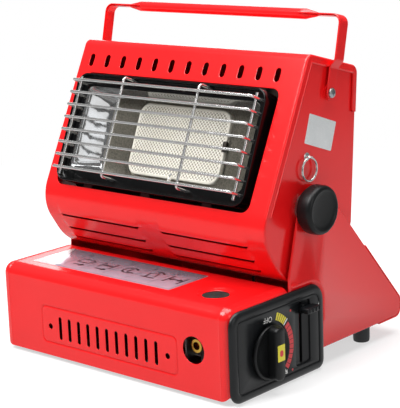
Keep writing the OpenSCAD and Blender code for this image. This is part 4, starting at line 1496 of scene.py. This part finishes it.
@dataclass
class Burner:
    """The radiant burner: enamelled frame, wire guard, reflector, plaque and electrode.

    The reflector's rings are each told by middle, width, height, corner radius and place outwards.
    """

    sheet: float = 0.7
    frame: tuple[float, ...] = (-1.5, -1.1, 218.8, 99.6)
    mouth: tuple[float, ...] = (-1.5, 0.0, 200.8, 76.4)
    plaque_w: float = 106.6
    plaque_h: float = 65.0
    plaque_r: float = 11.0
    plaque_out: float = -21.5
    plaque_thick: float = 13.0
    wire_r: float = 1.25
    wire_bend: float = 3.0
    guard_out: float = 20.5
    guard_half: float = 103.2
    wire_foot: float = 1.2
    bars: int = 8
    pitch: float = 11.4
    lowest: float = -40.8
    upright_x: Spot = (-43.3, 44.3)
    upright_up: Spot = (-43.9, 45.1)
    rod: tuple[float, ...] = (-46.0, 44.0, 10.5)
    floor_out: float = -22.9
    walls: tuple[tuple[float, ...], ...] = (
        (-1.5, 200.8, 76.4, 6.0, 0.0), (-1.4, 199.4, 76.0, 6.5, -0.6), (-1.3, 197.6, 75.6, 6.6, -2.2),
        (-0.7, 187.4, 73.4, 8, -11.5), (0, 176.6, 70.6, 10, -21.8), (0, 175.2, 70.0, 10, -22.6),
        (0, 173.0, 69.6, 9.5, -22.9))
    shield: tuple[float, ...] = (226, 113, 140, 72, 8)
    shield_out: float = -23.8
    stem_x: float = 3.0
    stem_out: float = -17.5
    sensor: Spot = (53.0, 1.5)

    def build(self) -> None:
        """Builds the burner from the frame inwards."""
        self.surround()
        self.guard()
        self.reflector()
        self.back_shield()
        self.plaque()
        self.flame_sensor()
        self.electrode()

    def surround(self) -> None:
        """Deep-drawn frame with a rolled lip and a flat floor round the mouth."""
        net = Net()
        lip = [(0, -11), (0, 6.3), (0.12, 6.95), (0.5, 7.4), (0.9, 7.5), (1.3, 7.4), (1.7, 6.9), (1.8, 6.2),
               (1.8, 2.6), (2.1, 1.8), (2.7, 1.35), (3.6, 1.2)]
        _, ring = net.press(rounded(*self.frame, 11), lip)
        mouth = rounded(*self.mouth, 6)
        for inset, height in ((-1.2, 1.2), (-0.4, 0.9), (0, 0.1)):
            ring = net.step(ring, mouth(inset), height)
        bm = net.place(lambda p: ON_BURNER @ p, self.sheet)
        hand_over(bm, "burner_surround", [ENAMEL], "head", ["burner_frame"])

    def staple(self, *corners: tuple[float, float, float]) -> BMesh:
        """One wire of the guard, through points of the burner's frame."""
        return wire([burner_spot(*c) for c in corners], self.wire_r, self.wire_bend)

    def guard(self) -> None:
        """Bent staples over two uprights, with a straight rod near each end."""
        out, half, foot, welded = self.guard_out, self.guard_half, self.wire_foot, 2 * self.wire_r + 0.02
        parts = []
        for up in (self.lowest + i * self.pitch for i in range(self.bars)):
            parts.append(self.staple((-half, up, foot), (-half, up, out), (half, up, out), (half, up, foot)))
        (low, high), level = self.upright_up, out - welded
        for x in self.upright_x:
            parts.append(self.staple((x, low, foot), (x, low, level), (x, high, level), (x, high, foot)))
        low, high, level = self.rod
        parts += [self.staple((x, low, level), (x, high, level)) for x in (-half + 0.7, half - welded)]
        nodes = ["guard_bars", "guard_legs"]
        hand_over(joined(*parts), "guard_wires", [CHROME], "head", nodes, sharp=50)

    def reflector(self) -> None:
        """Four bright walls that narrow towards the plaque, and a floor that is heat-tinted and darkened as
        painted shade.
        """
        net = Net()
        x, w, h, r, out = self.walls[0]
        ring = net.ring(rounded(x, 0, w, h, r)(0), out)
        for x, w, h, r, out in self.walls[1:]:
            ring = net.step(ring, rounded(x, 0, w, h, r)(0), out)
        net.step(ring, rounded(0, 0, self.plaque_w + 3, self.plaque_h + 2.4, self.plaque_r)(0), self.floor_out)
        # The floor takes the heat-tinted finish, darkened as painted shade.
        for face in net.bm.faces:
            face.material_index = int(all(v.co.z < self.floor_out + 0.1 for v in face.verts))
        bm = net.place(lambda p: ON_BURNER @ p, self.sheet)
        hand_over(bm, "reflector_sheet", [MIRROR_STEEL, TINTED_AND_SHADED_STEEL], "head", ["reflector"])

    def back_shield(self) -> None:
        """Dark sheet behind the reflector, which closes the gap round it."""
        net, (w, h, hole_w, hole_h, r) = Net(), self.shield
        net.fill(net.ring(rounded(0, 0, w, h, r)(0)), net.ring(rounded(0, 0, hole_w, hole_h, r)(0)))
        bm = net.place(lambda p: ON_BURNER @ (p + Vector((0, 0, self.shield_out))), 0.6)
        hand_over(bm, "burner_shield", [HEATED], "head")

    def plaque(self) -> None:
        """The ceramic plaque: a smooth margin round the field of ports."""
        face = self.plaque_out
        sides = [(0, face - self.plaque_thick), (0, face - 1.0), (0.3, face - 0.3), (0.9, face), (2.4, face),
                 (2.7, face - 0.2)]
        bm = lidded(rounded(0, 0, self.plaque_w, self.plaque_h, self.plaque_r), sides, lambda p: ON_BURNER @ p)
        towards = (burner_spot(0, 0, 1) - burner_spot(0, 0, 0)).normalized()
        level = burner_spot(0, 0, face - 0.2).dot(towards)
        for f in bm.faces:
            ports = f.normal.dot(towards) > 0.99 and abs(f.calc_center_median().dot(towards) - level) < 0.1
            f.material_index = int(not ports)
        hand_over(bm, "ceramic_plaque", [PLAQUE, PLAQUE_EDGE], "head", ["burner_plaque"])

    def flame_sensor(self) -> None:
        """Small clip in front of the plaque's right edge."""
        bm = block((-2.2, -4.6, 0), (2.2, 4.6, 3.4), 1.2, 3)
        moved(bm, ON_BURNER @ shift(*self.sensor, self.plaque_out - 1.6))
        hand_over(bm, "flame_sensor", [HEATED], "head")

    def electrode(self) -> None:
        """Glazed insulator with a bent spark wire in front of the plaque."""
        x, out = self.stem_x, self.stem_out
        profile = [(0, 0), (1.5, 0), (1.7, 0.3), (1.7, 5), (1.7, 12.6), (1.45, 14.0), (0.9, 14.5), (0, 14.5)]
        stem = moved(spun(profile, 28), ON_BURNER @ shift(x, -46, out) @ rotation(-90, "X"))
        corners = [burner_spot(x, -32, out), burner_spot(x, -28.6, out), burner_spot(x, -28.6, out - 1.9)]
        tip = tinted(wire(corners, 0.6, 1.0, 10), 1)
        rod = joined(stem, tip)
        hand_over(rod, "electrode_rod", [GLAZE, ZINC], "head", ["spark_electrode"])


# ---- Handle, ring, knobs and screws ----


@dataclass
class Handle:
    """Carrying handle: two bent straps and a rolled grip."""

    lean: float = 13.0
    width: float = 12.0
    thick: float = 2.0
    reach: float = 64.0
    grip_r: float = 4.5
    screw_r: float = 2.56

    def frame_at(self) -> Matrix:
        """The handle's frame at its screws: X across, Y to the rear and Z along the arms."""
        return shift(0, AT.screw_y, AT.screw_z) @ rotation(-self.lean, "X")

    def strap(self, side: Side) -> BMesh:
        """One strap, from its screw up and in to the grip.

        Args:
            side: On which side it is.

        Returns:
            Its mesh in the handle's frame.
        """
        faces = [Face(0, 130.9, 3), Face(-36.87, 92.12, 3), Face(0, 135.4, 8), Face(90, self.reach + 1, 0)]
        half = self.width / 2
        section, net = BentSection(faces, -half, -92.5), Net()
        corners = [(-half, 0), (half, 0), (half, section.length), (-half, section.length)]
        outline = net.ring(fillet(corners, [half - 0.01, half - 0.01, 0.3, 0.3]))
        net.fill(outline, net.ring(disc(0, half, self.screw_r, 24)(0)))
        cuts, roll = end_roll(half, 0.7, 3)
        net.cut([*cuts, *mirrored(half - 1.2)], section.cuts())
        net.lift(roll)

        def spot(p: Vector) -> Vector:
            """Place of a point of the strap."""
            across = section.at(p.y, p.z)
            return Vector((side.value * across.x, p.x, across.y))

        return net.place(spot, self.thick)

    def build(self) -> None:
        """Builds straps and grip as one piece."""
        parts, r = [self.strap(side) for side in Side], self.grip_r
        cone = [(0, 109.5), (1.2, 109.5), (2.2, 106), (3.6, 99), (r, 95.3), (r, 90), (r, 0)]
        grip = spun(cone + [(x, -h) for x, h in reversed(cone[:-1])], 36)
        parts.append(moved(grip, shift(0, 0, self.reach) @ rotation(90, "Y")))
        bm = moved(joined(*parts), self.frame_at())
        hand_over(bm, "carrying_handle", [RED], "handle", ["handle"])


@dataclass
class SmallParts:
    """Clamp knobs, split ring and screws."""

    knob_r: float = 20.6
    knob_h: float = 15.9
    knob_bore: float = 4.06
    ring_r: float = 9.7
    coil_r: float = 0.4
    screw_x: float = 131.0
    dome_r: float = 4.2
    dome_h: float = 2.3
    dome_fall: float = 0.9

    def build(self) -> None:
        """Builds them on both sides."""
        for side in Side:
            self.clamp_knob(side)
        self.ring()
        self.screws()

    def clamp_knob(self, side: Side) -> None:
        """Tilt clamp knob: a round moulding with a groove and a dished face.

        Args:
            side: On which side it is.
        """
        gap = 0.3
        r, h = self.knob_r, self.knob_h - gap
        profile = [
            (self.knob_bore, 0), (r - 3, 0), (r - 3, 2.3), (r - 1.6, 2.7), (r - 0.5, 3.3), (r - 0.1, 4.4),
            (r, 6.0), (r, 11.4), (r - 0.25, 13.0), (r - 0.9, 14.3), (r - 1.9, 15.2), (r - 3.0, h),
            (r - 3.8, h - 0.05), (r - 4.4, h - 0.35), (r - 4.9, h - 0.9), (r - 5.6, h - 1.2),
            (r - 8, h - 1.5), (r - 13, h - 1.9), (r - 17, h - 2.0), (0, h - 2.05),
        ]
        bm = moved(spun(profile, 96), on_side(AT.wing_x + gap, AT.pivot_y, AT.pivot_z, side))
        name = f"{side.name.lower()}_tilt_knob"
        hand_over(bm, f"{side.name.lower()}_clamp_knob", [NYLON], name, [name])

    def ring(self) -> None:
        """Split ring of two flat coils."""
        coils = []
        for out in (-self.coil_r, self.coil_r):
            coil = bmesh.new()
            start = shift(self.ring_r, 0, out) @ rotation(90, "X") @ Matrix.Diagonal((1.8, 0.98, 1, 1))
            bmesh.ops.create_circle(coil, segments=12, radius=self.coil_r, matrix=start)
            coils.append(swept(coil, coil.edges[:], 72))
        bm = moved(joined(*coils), on_side(AT.side_x + 3, AT.lug_y, AT.lug_z - 0.6 - self.ring_r))
        hand_over(bm, "split_ring", [CHROME], "ring", ["ring"])

    def domed(self, p: Vector) -> Vector:
        """Place of a point on a screw's dome."""
        fall = self.dome_fall * (p.x * p.x + p.y * p.y) / self.dome_r**2
        return Vector((p.x, p.y, self.dome_h + p.z - fall))

    def screws(self) -> None:
        """Handle screws: domed heads with a cross recess, over their shanks and nuts."""
        parts, arm, tip = [], 0.55, 2.1
        cross = [(-tip, -arm), (-arm, -arm), (-arm, -tip), (arm, -tip), (arm, -arm), (tip, -arm),
                 (tip, arm), (arm, arm), (arm, tip), (-arm, tip), (-arm, arm), (-tip, arm)]
        radii = [0.25, 0.3, 0.25] * 4
        for side in Side:
            net = Net()
            recess, floor = net.press(lambda inset: fillet(cross, radii, inset, 45), [(0, 0), (0.12, -0.9)])
            edge = [(0.9, 0), (0.4, -0.15), (0.1, -0.5), (0, -0.9), (0, -self.dome_h)]
            crown, _ = net.press(disc(0, 0, self.dome_r, 36), edge)
            net.fill(crown, recess)
            net.fill(floor)
            parts.append(moved(net.place(self.domed), on_side(self.screw_x, AT.screw_y, AT.screw_z, side)))
            shank = spun([(0, 0), (4.5, 0), (4.5, 3), (2.5, 3), (2.5, 8), (0, 8)], 24)
            parts.append(moved(shank, on_side(AT.side_x - 4, AT.screw_y, AT.screw_z, side)))
        heads = joined(*parts)
        hand_over(heads, "handle_screw_heads", [ZINC], "head", ["handle_screws"], sharp=30)


# ---- Hose and lead ----


@dataclass
class Flexible:
    """Gas hose and spark lead; the real ones bend where the head tilts, these keep one shape."""

    hose_r: float = 4.0
    lead_r: float = 1.3
    hose_x: float = 96.0
    wall_y: float = -44.25
    valve_x: float = 81.9

    def tube(
        self, name: str, points: Sequence[Vector], radius: float, finish: Finish, node: str
    ) -> None:
        """Makes a tube through points, which rides on no body.

        Args:
            name: The piece's name.
            points: Points that it passes.
            radius: Its radius.
            finish: Its finish.
            node: The node that it stands for.
        """
        curve = bpy.data.curves.new(name, "CURVE")
        curve.dimensions, curve.bevel_depth, curve.bevel_resolution, curve.use_fill_caps = "3D", radius, 3, True
        spline = curve.splines.new("POLY")
        smooth = self.smoothed(points, 8)
        spline.points.add(len(smooth) - 1)
        for target, point in zip(spline.points, smooth):
            target.co = (*point, 1)
        bm = as_drawn(bpy.data.objects.new(name + "_line", curve))
        bmesh.ops.remove_doubles(bm, verts=bm.verts, dist=10 * NEAR)
        piece = hand_over(bm, name, [finish], "", [node])
        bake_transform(piece)

    @staticmethod
    def smoothed(points: Sequence[Vector], steps: int) -> list[Vector]:
        """Smooth line through points.

        Args:
            points: Points to pass.
            steps: Pieces between two of them.

        Returns:
            The line's points.
        """
        p, made = [Vector(q) for q in points], []
        for i in range(len(p) - 1):
            a, b, c, d = p[max(i - 1, 0)], p[i], p[i + 1], p[min(i + 2, len(p) - 1)]
            for t in (k / steps for k in range(steps)):
                curved = (2 * a - 5 * b + 4 * c - d) * t**2 + (3 * b - a - 3 * c + d) * t**3
                made.append(0.5 * (2 * b + (c - a) * t + curved))
        return [*made, p[-1]]

    def build(self) -> None:
        """Builds hose and lead along the routes of the model's solids."""
        x, wall, py, pz, ky, kz = self.hose_x, self.wall_y, AT.pivot_y, AT.pivot_z, AT.knob_y, AT.knob_z
        hose = [(x, ky + 13.2, 46), (x, ky + 22, 46), (x, wall + 12, 46), (x, py + 5, 42), (x, py + 33, 54),
                (x, py + 42, pz - 62), (x - 0.3, py + 30, pz - 38)]
        hose += [burner_spot(99, -53, out) for out in (-67.5, -58.5, -48.7)]
        self.tube("gas_hose_tube", hose, self.hose_r, HOSE, "gas_hose")
        x, iy, iz = self.valve_x, ky + 17, kz - 9
        end = burner_spot(3, -46.05, -17.5)
        lead = [(x + 1.95, iy, iz), (x, iy, iz), (x - 3, iy, iz), (72, wall - 9, 40), (70, wall + 1, 46),
                (64, wall + 24, 48), (48, py + 26, 48), (34, py + 42, pz - 66), (18, py + 30, pz - 42),
                (end.x, end.y + 18, end.z - 36), burner_spot(3, -60, -17.5), burner_spot(3, -51, -17.5), end]
        self.tube("spark_lead_sleeve", lead, self.lead_r, SILICONE, "spark_lead")


# ---- Carried-over nodes ----

# The nodes whose shape stays, with their finishes.
CARRIED = {
    # Painted shade: the tray takes the dark red finish of faces in shade.
    "base_tray": RED_PAINTED_SHADE,
    "head_right_side": RED,
    "head_left_side": RED,
    "head_back": RED,
    "bay_wall": ZINC,
    "can_cradle": ZINC,
    "gas_valve": CAST,
    "valve_socket": BRASS,
    "gas_inlet": BRASS,
    "igniter": GLAZE,
    "cover_pins": ZINC,
    "pivot_washers": ZINC,
    "yoke_guides": ZINC,
    "burner_box": ZINC,
    "plaque_seal": FELT,
    "mixing_tube": ZINC,
    "gas_jet": BRASS,
    "burner_brackets": ZINC,
    "pivot_bolts": ZINC,
    "knob_shaft": ZINC,
    "collar_yoke": ZINC,
}


def dress_nodes() -> None:
    """Gives the nodes whose shape stays their finishes."""
    for name, finish in CARRIED.items():
        for slot in frame["nodes"][name].material_slots:
            slot.material = finish.material()
        log.info("%s: carried over as %s", name, finish.name)


# ---- Studio ----


@dataclass(frozen=True)
class SoftBox:
    """A lamp: where it stands, where it points, its width and height, and its power in watts."""

    name: str
    at: tuple[float, float, float]
    to: tuple[float, float, float]
    size: Spot
    power: float

    def build(self, scene: Scene) -> None:
        """Sets the lamp up.

        Args:
            scene: The scene.
        """
        data = bpy.data.lights.new(self.name, "AREA")
        data.shape, data.energy = "RECTANGLE", self.power
        data.size, data.size_y = (side * MM for side in self.size)
        lamp = bpy.data.objects.new(self.name, data)
        scene.collection.objects.link(lamp)
        aim = (Vector(self.to) - Vector(self.at)).to_track_quat("-Z", "Y").to_matrix().to_4x4()
        lamp.matrix_world = Matrix.Translation(Vector(self.at) * MM) @ aim


@dataclass
class Studio:
    """Camera, floor, world and soft lamps."""

    place: tuple[float, float, float] = (842.52, -941.394, 415.713)
    yaw: float = 41.7806
    pitch: float = -12.9393
    roll: float = -2.1391
    focal_px: float = 1460.76
    frame_px: float = 408.0
    sensor: float = 36.0
    board: str = "#B4B4B3"
    backdrop: str = "#FAFAFA"
    table_r: float = 6000.0
    lamps: tuple[SoftBox, ...] = (
        SoftBox("key_box", (-450, -1150, 1750), (0, -40, 120), (1100, 900), 38),
        SoftBox("top_box", (0, 100, 1500), (0, 0, 100), (1300, 1300), 30),
        SoftBox("side_box", (1500, -300, 700), (0, 0, 120), (700, 900), 4),
        SoftBox("rear_box", (-1260, 1300, 500), (0, 0, 100), (650, 650), 3.6),
    )

    def build(self) -> None:
        """Sets up the view and the light."""
        scene = bpy.context.scene
        scene.view_settings.view_transform = "Standard"
        self.camera(scene)
        self.world(scene)
        self.floor(scene)
        for lamp in self.lamps:
            lamp.build(scene)

    def camera(self, scene: Scene) -> None:
        """The camera at the measured place.

        Args:
            scene: The scene.
        """
        yaw, pitch, roll = (math.radians(a) for a in (self.yaw, self.pitch, self.roll))
        ahead = Vector((-math.sin(yaw) * math.cos(pitch), math.cos(yaw) * math.cos(pitch), math.sin(pitch)))
        level = Vector((math.cos(yaw), math.sin(yaw), 0))
        over = level.cross(ahead)
        right = level * math.cos(roll) + over * math.sin(roll)
        up = over * math.cos(roll) - level * math.sin(roll)
        data = bpy.data.cameras.new("view")
        data.sensor_width = self.sensor
        data.lens = self.focal_px / self.frame_px * self.sensor
        data.clip_start, data.clip_end = 0.05, 50
        camera = bpy.data.objects.new("view", data)
        scene.collection.objects.link(camera)
        aim = Matrix((right, up, -ahead)).transposed().to_4x4()
        camera.matrix_world = Matrix.Translation(Vector(self.place) * MM) @ aim
        scene.camera = camera

    def world(self, scene: Scene) -> None:
        """Plain grey light of a dim studio, brighter overhead.

        Args:
            scene: The scene.
        """
        world = bpy.data.worlds.new("studio")
        scene.world = world
        world.use_nodes = True
        tree = world.node_tree
        tree.nodes.clear()
        share = dot(tree, add_node(tree, "TexCoord").outputs["Generated"], (-0.2, 0.1, 0.97))
        level = ranged(tree, share, (-0.7, 1.0), (0.08, 0.3))
        light = add_node(tree, "Background", {"Color": srgb("#FFFFFF"), "Strength": level}).outputs[0]
        add_node(tree, "OutputWorld", {"Surface": light})

    def board_material(self) -> Material:
        """The table's board: plain grey to the light, and white where the camera or a mirror sees it.

        Returns:
            The material.
        """
        made = bpy.data.materials.new("matt_lacquered_board")
        made.use_nodes = True
        tree = made.node_tree
        tree.nodes.clear()
        rays = add_node(tree, "LightPath").outputs
        camera_ray = rays["Is Camera Ray"]
        reflected = maths(tree, "MAXIMUM", rays["Is Glossy Ray"], rays["Is Transmission Ray"])
        tone = mixed(tree, camera_ray, srgb(self.board), srgb(self.backdrop))
        board = add_node(tree, "BsdfDiffuse", {"Color": tone}).outputs[0]
        place = add_node(tree, "TexCoord").outputs["Object"]
        far = add_node(tree, "VectorMath", {0: place}, operation="LENGTH").outputs["Value"]
        # Near the heater the board still shows the shadow; farther off it is plain white.
        seen = maths(tree, "MULTIPLY", camera_ray, ranged(tree, far, (0.35, 0.9), (0.6, 1.0)))
        # A mirror sees a bright table that darkens towards the room.
        glow = ranged(tree, far, (1.0, 1.6), (0.8, 0.2))
        strength = add_node(tree, "Mix", {0: camera_ray, 2: glow, 3: 1.0}).outputs[0]
        white = add_node(tree, "Emission", {"Color": srgb("#FFFFFF"), "Strength": strength}).outputs[0]
        both = add_node(tree, "MixShader", {0: maths(tree, "MAXIMUM", seen, reflected), 1: board, 2: white})
        add_node(tree, "OutputMaterial", {"Surface": both.outputs[0]})
        return made

    def floor(self, scene: Scene) -> None:
        """A pale table top under the heater.

        Args:
            scene: The scene.
        """
        bm = bmesh.new()
        bmesh.ops.create_circle(bm, cap_ends=True, segments=96, radius=self.table_r)
        bmesh.ops.translate(bm, verts=bm.verts, vec=(0, 0, -0.02))
        bmesh.ops.scale(bm, vec=(MM, MM, MM), verts=bm.verts)
        mesh = bpy.data.meshes.new("table")
        bm.to_mesh(mesh)
        bm.free()
        mesh.materials.append(self.board_material())
        floor = bpy.data.objects.new("table", mesh)
        scene.collection.objects.link(floor)


def main() -> None:
    """Builds the scene."""
    logging.basicConfig(level=logging.INFO, format="%(message)s")
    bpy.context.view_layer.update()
    for kind in (Studio, FrontCover, Base, ControlPanel, Head, Burner, Handle, SmallParts, Flexible):
        kind().build()
    dress_nodes()
    bpy.context.view_layer.update()


if __name__ == "__main__":
    main()
